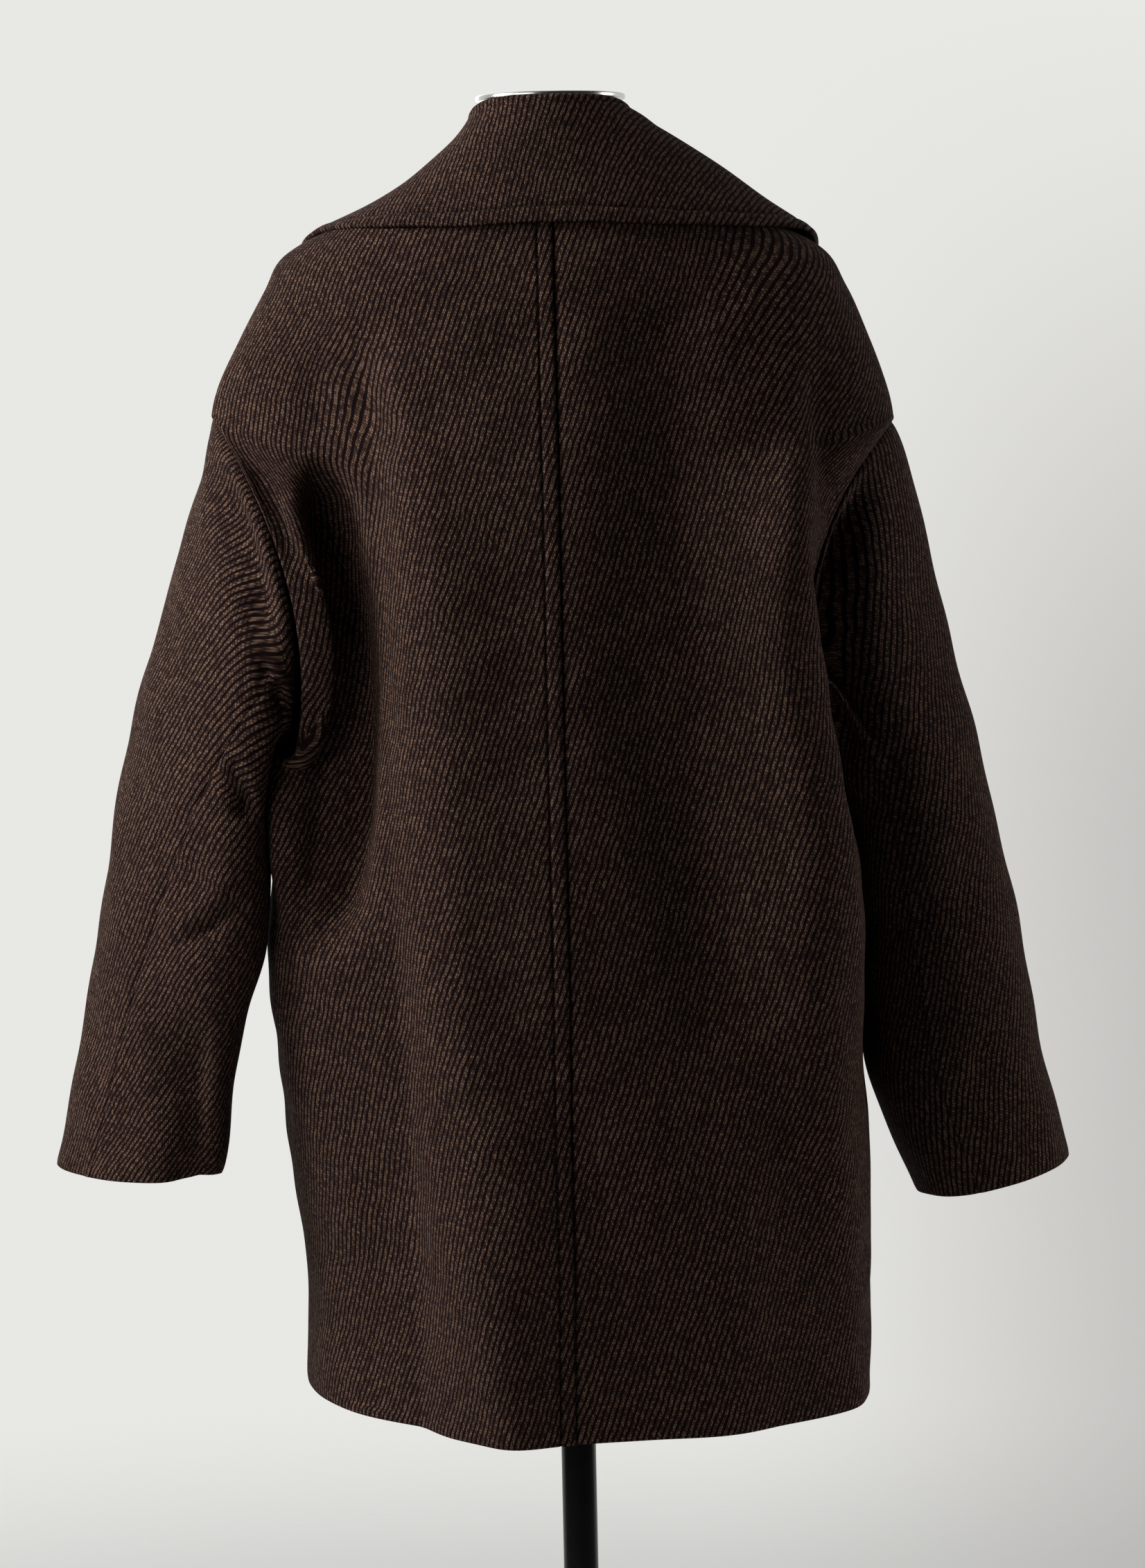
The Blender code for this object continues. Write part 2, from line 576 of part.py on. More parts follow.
def make_buttons(horn, collection):
    """Round buttons seated on the outside of the right front."""
    seat = CLOTH_WALL + LAP_GAP + 2.0 * SEAM_GAP
    for number, level in enumerate(BUTTON_LEVELS, start=1):
        facing = Vector(body_normal(1.0, level))
        bm = bmesh.new()
        bmesh.ops.create_cone(bm, cap_ends=True, segments=BUTTON_SIDES, radius1=BUTTON_RADIUS,
                              radius2=BUTTON_RADIUS, depth=BUTTON_THICK)
        bmesh.ops.translate(bm, verts=bm.verts, vec=(0.0, 0.0, BUTTON_THICK / 2.0))
        rims = [edge for edge in bm.edges if edge.verts[0].co.z == edge.verts[1].co.z]
        bmesh.ops.bevel(bm, geom=rims, offset=BUTTON_RIM, segments=1, affect="EDGES", profile=0.5)
        button = add_object("button_%d" % number, bm, horn, collection)
        button.rotation_mode = "QUATERNION"
        button.rotation_quaternion = facing.to_track_quat("Z", "Y")
        button.location = Vector(body_point(1.0, level)) + facing * seat


def ellipse_ring(row):
    """Level ring of the dress form."""
    ring = []
    for k in range(FORM_SIDES):
        angle = 2.0 * math.pi * k / FORM_SIDES
        reach = row.y_back if math.cos(angle) >= 0.0 else -row.y_front
        ring.append(Vector((row.half_x * math.sin(angle), reach * math.cos(angle), row.z)))
    return ring


def form_places():
    """Places round the neck, one for each side of the dress form."""
    places = [2.0 * k / FORM_SIDES for k in range(FORM_SIDES)]
    return [place if place <= 1.0 else place - 2.0 for place in places]


def shoulder_ring(level):
    """Ring of the dress form that carries the coat along the tops of its shoulders."""
    ring = []
    for around in form_places():
        aside = (abs(around) - SIDE_PLACE) / SHOULDER_REST
        inset = CLOTH_WALL + REST_GAP + FORM_SINK * (1.0 - math.exp(-aside ** 2))
        inset += NECK_SINK * smooth_step(FORM_SHOULDER_LEVELS[-2], NECK_LEVEL, level)
        ring.append(Vector(body_point(around, level) - body_normal(around, level) * inset))
    return ring


def neck_ring(share):
    """Ring of the dress form inside the collar's stand."""
    inset = COLLAR_WALL / 2.0 + NECK_CLEAR
    return [Vector(stand_point(around, share) - neck_outward(around) * inset) for around in form_places()]


def make_form(linen, collection):
    """Limbless torso and neck, whole under the coat."""
    rings = [ellipse_ring(row) for row in FORM_ROWS]
    rings += [shoulder_ring(level) for level in FORM_SHOULDER_LEVELS]
    rings += [neck_ring(share) for share in FORM_NECK_SHARES]
    rings.append(ellipse_ring(FORM_NECK_TOP))
    bm = bmesh.new()
    loops = [[bm.verts.new(point) for point in ring] for ring in rings]
    for low, high in zip(loops, loops[1:]):
        for k in range(FORM_SIDES):
            nxt = (k + 1) % FORM_SIDES
            bm.faces.new((low[k], low[nxt], high[nxt], high[k]))
    bm.faces.new(loops[0])
    bm.faces.new(loops[-1])
    return add_object("form_torso", bm, linen, collection)


def turned(name, profile, material, collection):
    """Solid of revolution round the pole's axis from a profile of radii and heights, top first."""
    bm = bmesh.new()
    verts = [bm.verts.new((radius, 0.0, z)) for radius, z in profile]
    edges = [bm.edges.new(pair) for pair in zip(verts, verts[1:])]
    bmesh.ops.spin(bm, geom=verts + edges, cent=(0.0, 0.0, 0.0), axis=(0.0, 0.0, 1.0),
                   angle=2.0 * math.pi, steps=ROUND_SIDES, use_merge=True)
    bmesh.ops.remove_doubles(bm, verts=bm.verts, dist=MERGE_DISTANCE)
    return add_object(name, bm, material, collection)


def make_stand(metal, black, collection):
    """Neck cap, pole and base."""
    cap_top = CAP_BOTTOM + CAP_THICK
    cap = turned("neck_cap", [(0.0, cap_top), (CAP_RADIUS - CAP_EDGE, cap_top),
                              (CAP_RADIUS, cap_top - CAP_EDGE),
                              (CAP_RADIUS, CAP_BOTTOM + CAP_EDGE), (CAP_RADIUS - CAP_EDGE, CAP_BOTTOM),
                              (0.0, CAP_BOTTOM)], metal, collection)
    cap.location.y = CAP_MIDDLE_Y
    pole_top = FORM_ROWS[0].z - SEAM_GAP
    pole_foot = BASE_TOP + SEAM_GAP
    turned("pole", [(0.0, pole_top), (POLE_RADIUS, pole_top), (POLE_RADIUS, pole_foot), (0.0, pole_foot)],
           black, collection)
    turned("base", [(0.0, BASE_TOP), (BASE_HUB_RADIUS, BASE_TOP), (BASE_RADIUS, BASE_RIM),
                    (BASE_RADIUS, 0.0), (0.0, 0.0)], black, collection)


def main():
    clear_scene()
    collection = bpy.data.collections.new("long_coat_on_dress_form")
    bpy.context.scene.collection.children.link(collection)
    cloth = make_material("brown_black_twill", (0.045, 0.030, 0.025), 0.9)
    horn = make_material("dark_button", (0.020, 0.014, 0.011), 0.4)
    linen = make_material("beige_linen", (0.55, 0.47, 0.36), 0.9)
    metal = make_material("cap_metal", (0.62, 0.60, 0.57), 0.3, 1.0)
    black = make_material("black_paint", (0.010, 0.010, 0.009), 0.45)
    make_panels(cloth, collection)
    make_collar(cloth, collection)
    make_buttons(horn, collection)
    make_form(linen, collection)
    make_stand(metal, black, collection)


main()
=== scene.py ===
import math

import bmesh
import bpy
import numpy as np
from mathutils import Matrix, Vector
from mathutils.kdtree import KDTree


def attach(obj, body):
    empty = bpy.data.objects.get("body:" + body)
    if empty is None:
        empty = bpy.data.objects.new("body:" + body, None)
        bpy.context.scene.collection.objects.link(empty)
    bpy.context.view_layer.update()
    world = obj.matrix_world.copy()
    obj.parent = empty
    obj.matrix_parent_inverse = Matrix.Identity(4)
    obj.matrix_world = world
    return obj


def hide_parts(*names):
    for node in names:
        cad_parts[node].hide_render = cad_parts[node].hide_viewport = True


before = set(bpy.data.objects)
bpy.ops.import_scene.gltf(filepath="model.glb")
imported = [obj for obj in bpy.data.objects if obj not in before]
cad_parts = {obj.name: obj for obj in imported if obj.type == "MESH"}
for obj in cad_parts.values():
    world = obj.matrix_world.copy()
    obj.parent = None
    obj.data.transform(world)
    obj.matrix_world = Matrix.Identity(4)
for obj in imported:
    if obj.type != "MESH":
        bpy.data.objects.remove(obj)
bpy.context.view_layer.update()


# Shader maths: a wire carries a socket, and sums of wires become Math nodes
class Wire:
    def __init__(self, paint, socket):
        self.paint = paint
        self.socket = socket

    def maths(self, operation, *terms):
        return self.paint.node("ShaderNodeMath", {"operation": operation}, dict(enumerate(terms)))

    def __add__(self, other):
        return self.maths("ADD", self, other)

    def __radd__(self, other):
        return self.maths("ADD", other, self)

    def __sub__(self, other):
        return self.maths("SUBTRACT", self, other)

    def __rsub__(self, other):
        return self.maths("SUBTRACT", other, self)

    def __mul__(self, other):
        return self.maths("MULTIPLY", self, other)

    def __rmul__(self, other):
        return self.maths("MULTIPLY", other, self)

    def __truediv__(self, other):
        return self.maths("DIVIDE", self, other)

    def __abs__(self):
        return self.maths("ABSOLUTE", self)

    def floor(self):
        return self.maths("FLOOR", self)

    def fract(self):
        return self.maths("FRACT", self)

    def atLeast(self, low):
        return self.maths("MAXIMUM", self, low)

    def sine(self):
        return self.maths("SINE", self)

    def sign(self):
        return self.maths("SIGN", self)

    def power(self, exponent):
        return self.maths("POWER", self, exponent)

    def ease(self, low, high):  # 0 at low, 1 at high, soft between
        return self.paint.node("ShaderNodeMapRange", {"interpolation_type": "SMOOTHSTEP"},
                               {"Value": self, "From Min": low, "From Max": high})

    def other(self, name):  # another output of the same node
        return Wire(self.paint, self.socket.node.outputs[name])


class Paint:
    def __init__(self, name, world=None):
        self.material = world or bpy.data.materials.new(name)
        self.material.use_nodes = True
        self.tree = self.material.node_tree
        self.shader = self.tree.nodes["Background" if world else "Principled BSDF"]

    def node(self, kind, settings=None, inputs=None, output=0):
        made = self.tree.nodes.new(kind)
        for key, value in (settings or {}).items():
            if key == "stops":
                ramp = made.color_ramp.elements
                while len(ramp) < len(value):
                    ramp.new(0.5)
                for element, (place, colour) in zip(ramp, value):
                    element.position = place
                    element.color = (*colour, 1.0)
            else:
                setattr(made, key, value)
        for key, value in (inputs or {}).items():
            self.feed(made.inputs[key], value)
        return Wire(self, made.outputs[output])

    def feed(self, socket, value):
        if isinstance(value, Wire):
            self.tree.links.new(value.socket, socket)
        else:
            socket.default_value = value

    def finish(self, **inputs):  # Base_Color=... sets the shader's Base Color
        for key, value in inputs.items():
            self.feed(self.shader.inputs[key.replace("_", " ")], value)
        return self.material

    def mix(self, factor, first, second, blend="MIX"):
        return self.node("ShaderNodeMix", {"data_type": "RGBA", "blend_type": blend},
                         {0: factor, 6: first, 7: second}, 2)

    def noise(self, vector, scale, detail=2.0, roughness=0.5):
        return self.node("ShaderNodeTexNoise", None,
                         {"Vector": vector, "Scale": scale, "Detail": detail, "Roughness": roughness})

    def vector(self, x, y, z=0.0):
        return self.node("ShaderNodeCombineXYZ", None, {"X": x, "Y": y, "Z": z})

    def bump(self, height, distance, strength):
        return self.node("ShaderNodeBump", None,
                         {"Height": height, "Distance": distance, "Strength": strength})


def colour(red, green, blue):
    return (red, green, blue, 1.0)


# Steep brown and black wool twill, drawn in the cut cloth's own metres
twill = {
    "ribAngle": math.radians(70.5),  # from the weft, rising to the right
    "ribPitch": 0.00395,
    "dotPitch": 0.0020,
    "dotSlant": 1.276,
    "ribHalf": 0.305,
    "ribEdge": 0.085,
    "columnHalf": 0.155,
    "tan": colour(0.270, 0.163, 0.108),
    "brown": colour(0.099, 0.056, 0.045),
    "groove": colour(0.0115, 0.0056, 0.0060),
    "paintedSeamShade": colour(0.0030, 0.0018, 0.0020),  # painted shade along seams, the welt's groove, the armhole crevice and the collar's stitch line
    "fibre": colour(0.26, 0.19, 0.15),
    "sheenTint": colour(0.80, 0.66, 0.58),
}


def coatTwill():
    paint = Paint("coatTwill")
    weave = paint.node("ShaderNodeUVMap", {"uv_map": "weave"})
    split = paint.node("ShaderNodeSeparateXYZ", None, {"Vector": weave})
    u, v = split, split.other("Y")
    sway = paint.noise(weave, 42.0, 2.0)
    tremble = paint.noise(weave, 420.0, 1.0)
    sine, cosine = math.sin(twill["ribAngle"]), math.cos(twill["ribAngle"])
    across = (u * sine - v * cosine) / twill["ribPitch"] + (sway - 0.5) * 0.9 + (tremble - 0.5) * 0.16
    along = (u * cosine + v * sine) / twill["dotPitch"]
    slanted = along + across * twill["dotSlant"] + (tremble - 0.5) * 0.5

    # two columns of slanted yarn dots on each rib, one half a dot above the other
    aside = across.fract() - 0.5
    fromMiddle = abs(aside)
    rib = 1.0 - fromMiddle.ease(twill["ribHalf"] - twill["ribEdge"], twill["ribHalf"] + twill["ribEdge"])
    fromColumn = (fromMiddle - twill["columnHalf"]) / twill["columnHalf"]
    column = (1.0 - fromColumn * fromColumn).atLeast(0.0)
    half = aside.sign()
    shifted = slanted + half * 0.2
    dot = 1.0 - abs(shifted.fract() * 2.0 - 1.0).ease(0.10, 0.95)
    yarn = dot * (column * 0.55 + 0.45)

    # every dot has its own shade, and some sink below the others
    cell = paint.vector(across.floor(), shifted.floor(), half)
    shade = paint.node("ShaderNodeTexWhiteNoise", {"noise_dimensions": "3D"}, {"Vector": cell})
    blotch = paint.noise(weave, 300.0, 3.0, 0.65)
    cloud = paint.noise(weave, 14.0, 3.0, 0.6)
    fuzz = paint.noise(weave, 2600.0, 2.0, 0.6)
    warm = (shade * 0.75 + (blotch - 0.5) * 0.8 + (fuzz - 0.5) * 0.5).ease(0.0, 1.0)
    ribColour = paint.mix(warm, twill["brown"], twill["tan"])
    lit = rib * (yarn * 0.72 + 0.28) * (shade * 0.50 + 0.58) * (blotch * 0.85 + 0.52) + (fuzz - 0.5) * 0.14
    body = paint.mix(lit.ease(0.03, 0.88), twill["groove"], ribColour)
    clouded = paint.mix(1.0, body, paint.node("ShaderNodeCombineColor", None, {
        "Red": cloud * 0.5 + 0.75, "Green": cloud * 0.5 + 0.75, "Blue": cloud * 0.52 + 0.74}), "MULTIPLY")

    # a few pale stray hairs lie across the ribs
    hairPlace = paint.vector(u * 5200.0 + sway * 900.0, v * 620.0, 3.0)
    hair = paint.noise(hairPlace, 1.0, 1.0).ease(0.79, 0.83)
    hairs = hair * paint.noise(weave, 95.0, 1.0).ease(0.52, 0.66) * 0.55
    # painted shade: this attribute darkens the colour along seams, grooves and the armhole crevice
    press = paint.node("ShaderNodeAttribute", {"attribute_name": "press"}, None, "Fac")
    base = paint.mix(press * 0.9, paint.mix(hairs, clouded, twill["fibre"]), twill["paintedSeamShade"])

    relief = rib * (yarn * 0.6 + 0.4) + (fuzz - 0.5) * 0.30 + (blotch - 0.5) * 0.22
    normal = paint.bump(relief, 0.00060, 0.80)
    return paint.finish(Base_Color=base, Roughness=0.97 - lit * 0.10, Normal=normal, Specular_IOR_Level=0.04,
                        Sheen_Weight=0.02, Sheen_Roughness=0.45, Sheen_Tint=twill["sheenTint"])


def formLinen():
    paint = Paint("formLinen")
    weave = paint.node("ShaderNodeUVMap", {"uv_map": "weave"})
    split = paint.node("ShaderNodeSeparateXYZ", None, {"Vector": weave})
    u, v = split, split.other("Y")
    threadPitch = 0.00085
    slub = (paint.noise(paint.vector(u * 40.0, v * 900.0), 1.0, 2.0)
            + paint.noise(paint.vector(u * 900.0, v * 40.0), 1.0, 2.0))
    warp, weft = ((thread * (math.pi / threadPitch)).sine() for thread in (u, v))
    plain = warp * weft * 0.5 + 0.5
    soil = paint.noise(weave, 22.0, 3.0)
    tone = (plain * 0.45 + (slub - 1.0) * 0.8 + soil * 0.5).ease(0.0, 1.1)
    base = paint.mix(tone, colour(0.36, 0.29, 0.20), colour(0.62, 0.53, 0.40))
    return paint.finish(Base_Color=base, Roughness=0.92 - plain * 0.08, Specular_IOR_Level=0.2,
                        Sheen_Weight=0.05, Normal=paint.bump(plain + slub * 0.6, 0.0002, 0.6))


def turnedSteel():
    paint = Paint("turnedSteel")
    place = paint.node("ShaderNodeTexCoord", None, None, "Object")
    split = paint.node("ShaderNodeSeparateXYZ", None, {"Vector": place})
    x, y, z = split, split.other("Y") + 0.012, split.other("Z")
    radius = (x * x + y * y).power(0.5)
    rings = paint.noise(paint.vector(radius * 2600.0, z * 2600.0), 1.0, 2.0, 0.6)
    smear = paint.noise(place, 38.0, 3.0)
    base = paint.mix(smear, colour(0.46, 0.45, 0.43), colour(0.66, 0.65, 0.62))
    return paint.finish(Base_Color=base, Metallic=1.0, Roughness=0.16 + rings * 0.12 + smear * 0.10,
                        Normal=paint.bump(rings, 0.00006, 0.5))


def blackPaint():
    paint = Paint("blackPaint")
    place = paint.node("ShaderNodeTexCoord", None, None, "Object")
    orange = paint.noise(place, 900.0, 2.0)
    dust = paint.noise(place, 60.0, 4.0, 0.65)
    base = paint.mix(dust.ease(0.45, 0.85), colour(0.0024, 0.0023, 0.0022), colour(0.0060, 0.0057, 0.0054))
    return paint.finish(Base_Color=base, Roughness=0.16 + dust * 0.16, Specular_IOR_Level=0.2,
                        Normal=paint.bump(orange, 0.00012, 0.35))


def hornButton():
    paint = Paint("hornButton")
    place = paint.node("ShaderNodeTexCoord", None, None, "Object")
    split = paint.node("ShaderNodeSeparateXYZ", None, {"Vector": place})
    streakPlace = paint.vector(split * 60.0, split.other("Y") * 60.0, split.other("Z") * 520.0)
    streak = paint.noise(streakPlace, 1.0, 4.0, 0.6)
    stops = [(0.30, (0.006, 0.004, 0.003)), (0.55, (0.022, 0.014, 0.010)), (0.78, (0.065, 0.040, 0.026))]
    base = paint.node("ShaderNodeValToRGB", {"stops": stops}, {"Fac": streak})
    return paint.finish(Base_Color=base, Roughness=0.26 + streak * 0.22, Coat_Weight=0.15,
                        Normal=paint.bump(streak, 0.0002, 0.2))


def darkThread():
    paint = Paint("darkThread")
    place = paint.node("ShaderNodeTexCoord", None, None, "Object")
    ply = paint.noise(place, 2400.0, 2.0)
    base = paint.mix(ply, colour(0.008, 0.006, 0.006), colour(0.034, 0.025, 0.022))
    return paint.finish(Base_Color=base, Roughness=0.62 + ply * 0.2, Normal=paint.bump(ply, 0.0002, 0.5))


finishes = {
    "coat": coatTwill(),
    "linen": formLinen(),
    "steel": turnedSteel(),
    "black": blackPaint(),
    "horn": hornButton(),
    "thread": darkThread(),
}
print("finishes mixed:", len(finishes))


# Reading the cutting tables
def smoothStep(low, high, value):
    s = np.clip((value - low) / (high - low), 0.0, 1.0)
    return s * s * (3.0 - 2.0 * s)


def readColumn(table, column, places):
    rows = np.array(table["rows"])
    at = rows[:, 0]
    values = rows[:, table["columns"].split().index(column)]
    slopes = np.gradient(values, at)
    low = np.clip(np.searchsorted(at, places, side="right") - 1, 0, len(at) - 2)
    span = at[low + 1] - at[low]
    s = (places - at[low]) / span
    rise = s * s * (3.0 - 2.0 * s)
    start = values[low] * (1.0 - rise) + span * slopes[low] * s * (1.0 - s) ** 2
    return start + values[low + 1] * rise - span * slopes[low + 1] * s * s * (1.0 - s)


def sideSign(side):
    return 1.0 if side == "Left" else -1.0


def pathLengths(points):
    return np.concatenate([[0.0], np.cumsum(np.linalg.norm(np.diff(points, axis=0), axis=1))])


def runLengths(grid, axis):
    steps = np.linalg.norm(np.diff(grid, axis=axis), axis=2)
    first = np.zeros_like(np.take(steps, [0], axis=axis))
    return np.concatenate([first, np.cumsum(steps, axis=axis)], axis=axis)


def addObject(name, data):
    made = bpy.data.objects.new(name, data)
    bpy.context.scene.collection.objects.link(made)
    return made


# Body of the coat: level 0 hem, 1 underarm, 2 dropped shoulder, 3 neckline
bodyCut = {
    "columns": "level zBack yBack zFront yFront "
               "xLeft yLeft zLeft squareLeft xRight yRight zRight squareRight",
    "rows": [
        (0.00, 0.577, 0.146, 0.582, -0.155, 0.1968, -0.055, 0.582, 2.30, 0.2095, -0.010, 0.580, 2.9),
        (0.20, 0.665, 0.146, 0.670, -0.156, 0.1940, -0.045, 0.669, 2.25, 0.2118, -0.010, 0.665, 3.0),
        (0.40, 0.755, 0.145, 0.760, -0.156, 0.2028, -0.035, 0.757, 2.25, 0.2116, -0.010, 0.752, 3.2),
        (0.55, 0.822, 0.144, 0.826, -0.155, 0.2088, -0.018, 0.824, 2.25, 0.2085, -0.002, 0.818, 3.6),
        (0.72, 0.900, 0.142, 0.900, -0.154, 0.2130, -0.004, 0.900, 2.30, 0.2068, 0.003, 0.892, 3.9),
        (0.87, 0.967, 0.140, 0.962, -0.152, 0.2065, 0.003, 0.972, 2.40, 0.2035, 0.005, 0.963, 4.2),
        (1.00, 1.030, 0.137, 1.020, -0.150, 0.1920, 0.000, 1.035, 2.45, 0.1890, 0.000, 1.025, 4.6),
        (1.50, 1.135, 0.131, 1.120, -0.146, 0.2165, 0.000, 1.159, 2.35, 0.2110, 0.000, 1.149, 5.5),
        (2.00, 1.245, 0.122, 1.220, -0.138, 0.2430, 0.000, 1.283, 2.00, 0.2345, 0.000, 1.273, 2.5),
        (2.30, 1.300, 0.115, 1.275, -0.128, 0.2205, 0.000, 1.338, 2.05, 0.2175, 0.000, 1.332, 2.4),
        (2.48, 1.331, 0.109, 1.305, -0.121, 0.2025, 0.000, 1.371, 2.15, 0.2040, 0.000, 1.365, 2.4),
        (2.60, 1.352, 0.105, 1.325, -0.115, 0.1905, 0.000, 1.392, 2.20, 0.1925, 0.000, 1.388, 2.2),
        (2.80, 1.402, 0.088, 1.372, -0.092, 0.1320, 0.000, 1.4235, 2.2, 0.1340, 0.000, 1.4185, 2.2),
        (3.00, 1.450, 0.060, 1.420, -0.064, 0.0710, 0.000, 1.4525, 2.1, 0.0710, 0.000, 1.4490, 2.1),
    ],
    "underarm": 1.0,
    "drop": 2.0,
    "neck": 3.0,
    "armholeTurnIn": math.radians(28),
    "turnInPower": 2.5,
    "levelSteps": 600,
    "rowSteps": 160,
    "rowSamples": 241,
    "wall": 0.0022,
    "clothStep": 0.0033,
    "edgeStep": 0.0012,
    "edgeSteps": 4,
}
# largest folds of the back: x and z of three points, half widths to each side, depth in, fades at the ends
backFolds = {
    "columns": "xTop zTop xMid zMid xLow zLow widthLeft widthRight depth fadeTop fadeLow",
    "rows": [
        (0.136, 1.365, 0.1205, 0.950, 0.1125, 0.577, 0.1000, 0.0165, 0.023, 0.090, 0.000),
        (0.166, 1.270, 0.157, 1.090, 0.188, 0.900, 0.0150, 0.0250, 0.017, 0.080, 0.090),
        (0.066, 0.830, 0.056, 0.700, 0.045, 0.570, 0.0340, 0.0450, -0.022, 0.230, 0.000),
        (0.088, 1.330, 0.070, 0.960, 0.060, 0.570, 0.0240, 0.0700, -0.010, 0.200, 0.150),
        (-0.076, 1.385, -0.084, 1.050, -0.094, 0.740, 0.0450, 0.0300, 0.012, 0.070, 0.180),
        (-0.166, 1.320, -0.172, 1.050, -0.190, 0.620, 0.0340, 0.0160, -0.015, 0.120, 0.200),
        (-0.158, 0.860, -0.160, 0.720, -0.164, 0.577, 0.0300, 0.0300, 0.013, 0.120, 0.000),
    ],
    "seamFade": 0.12,
}
sleeveCut = {
    "columns": "along xOut zOut xIn zIn yMid halfDepth saddle lean",
    "Left": [
        (0.00, 0.2430, 1.2830, 0.1920, 1.0350, 0.000, 0.086, 0.0290, 0.000),
        (0.07, 0.2542, 1.2498, 0.1947, 1.0315, -0.002, 0.084, 0.0200, 0.010),
        (0.18, 0.2706, 1.1963, 0.1973, 1.0157, -0.003, 0.080, 0.0110, 0.022),
        (0.34, 0.2926, 1.1183, 0.2026, 0.9891, -0.002, 0.073, 0.0060, 0.032),
        (0.52, 0.3126, 1.0389, 0.2074, 0.9518, 0.000, 0.067, 0.0020, 0.038),
        (0.70, 0.3304, 0.9573, 0.2121, 0.9038, -0.002, 0.062, 0.0000, 0.040),
        (0.86, 0.3503, 0.8582, 0.2275, 0.8438, -0.006, 0.058, 0.0000, 0.038),
        (1.00, 0.3740, 0.7430, 0.2480, 0.7463, -0.012, 0.054, 0.0000, 0.034),
    ],
    "Right": [
        (0.00, 0.2345, 1.2730, 0.1890, 1.0250, 0.000, 0.086, 0.0385, 0.000),
        (0.07, 0.2442, 1.2480, 0.1930, 1.0200, -0.008, 0.086, 0.0270, 0.000),
        (0.18, 0.2596, 1.1893, 0.1978, 1.0000, -0.018, 0.085, 0.0140, 0.000),
        (0.34, 0.2794, 1.1153, 0.2038, 0.9680, -0.026, 0.082, 0.0060, 0.000),
        (0.52, 0.2989, 1.0248, 0.2075, 0.9220, -0.034, 0.078, 0.0020, 0.000),
        (0.70, 0.3173, 0.9330, 0.2092, 0.8680, -0.040, 0.074, 0.0000, 0.000),
        (0.86, 0.3376, 0.8329, 0.2163, 0.7950, -0.045, 0.070, 0.0000, 0.000),
        (1.00, 0.3631, 0.7345, 0.2482, 0.7085, -0.050, 0.064, 0.0000, 0.000),
    ],
    "seamTurn": 115.0,
    "cuffSeamTurn": {"Left": 57.0, "Right": 106.0},
    "clothStep": 0.0036,
}


def sleevePoint(side, place, turn):
    table = {"columns": sleeveCut["columns"], "rows": sleeveCut[side]}
    place = np.asarray(place, dtype=float)
    xOut, zOut, xIn, zIn, yMid, halfDepth, saddle, lean = (readColumn(table, name, place)
                                                           for name in sleeveCut["columns"].split()[1:])
    x = (xOut + xIn) / 2.0 + (xOut - xIn) / 2.0 * np.cos(turn) - saddle * np.sin(turn) ** 2
    y = yMid + halfDepth * np.sin(turn) - lean * np.cos(turn)
    z = (zOut + zIn) / 2.0 + (zOut - zIn) / 2.0 * np.cos(turn)
    return np.stack(np.broadcast_arrays(x * sideSign(side), y, z), axis=-1)


def foldDepth(x, z):
    total = np.zeros_like(x)
    for row in backFolds["rows"]:
        xTop, zTop, xMid, zMid, xLow, zLow, widthLeft, widthRight, depth, fadeTop, fadeLow = row
        bend = np.polyfit((zLow, zMid, zTop), (xLow, xMid, xTop), 2)
        middle = np.polyval(bend, np.clip(z, zLow, zTop))
        fade = smoothStep(0.0, fadeTop, zTop - z)
        if fadeLow > 0.0:
            fade = fade * smoothStep(0.0, fadeLow, z - zLow)
        width = np.where(x > middle, widthLeft, widthRight)
        total += depth * fade * np.exp(-((x - middle) / width) ** 2)
    return total


def spreadEvenly(points, lengths, count):
    places = np.linspace(0.0, lengths[-1], count)
    return np.stack([np.interp(places, lengths, points[:, k]) for k in range(3)], axis=-1)


def bodyQuarter(side, face):
    levels = np.linspace(0.0, bodyCut["neck"], bodyCut["levelSteps"] + 1)
    ends = np.stack([readColumn(bodyCut, name + side, levels) for name in ("x", "y", "z")], axis=-1)
    ends[:, 0] *= sideSign(side)
    atArmhole = (levels > bodyCut["underarm"]) & (levels < bodyCut["drop"])
    turns = math.pi * (bodyCut["drop"] - levels[atArmhole]) * (1.0 if face == "Back" else -1.0)
    ends[atArmhole] = sleevePoint(side, np.zeros_like(turns), turns)
    yCentre = readColumn(bodyCut, "y" + face, levels)[:, None]
    zCentre = readColumn(bodyCut, "z" + face, levels)[:, None]
    power = 2.0 / readColumn(bodyCut, "square" + side, levels)[:, None]
    rise = np.maximum(np.sin(math.pi * (levels - bodyCut["underarm"])), 0.0)
    turnIn = bodyCut["armholeTurnIn"] * (rise if side == "Left" else rise ** bodyCut["turnInPower"])
    reach = (math.pi / 2.0 - np.where(atArmhole, turnIn, 0.0))[:, None]
    floor = np.maximum(np.cos(reach), 0.0) ** power
    angle = reach * np.linspace(0.0, 1.0, bodyCut["rowSamples"])[None, :] ** (1.0 / power)
    across = (np.sin(angle) / np.sin(reach)) ** power
    ahead = (np.maximum(np.cos(angle), 0.0) ** power - floor) / (1.0 - floor)
    x = ends[:, 0:1] * across
    y = ends[:, 1:2] + (yCentre - ends[:, 1:2]) * ahead
    z = zCentre + (ends[:, 2:3] - zCentre) * across ** 2
    points = np.stack([x, y, z], axis=-1)
    lengths = runLengths(points, 1)
    if face == "Back":
        fade = smoothStep(0.0, backFolds["seamFade"], 1.0 - lengths / lengths[:, -1:])
        points[..., 1] -= foldDepth(points[..., 0], points[..., 2]) * fade
    sheet = np.array([spreadEvenly(row, length, bodyCut["rowSteps"] + 1)
                      for row, length in zip(points, lengths)])
    return {"sheet": sheet, "lengths": lengths[:, -1], "levels": levels}


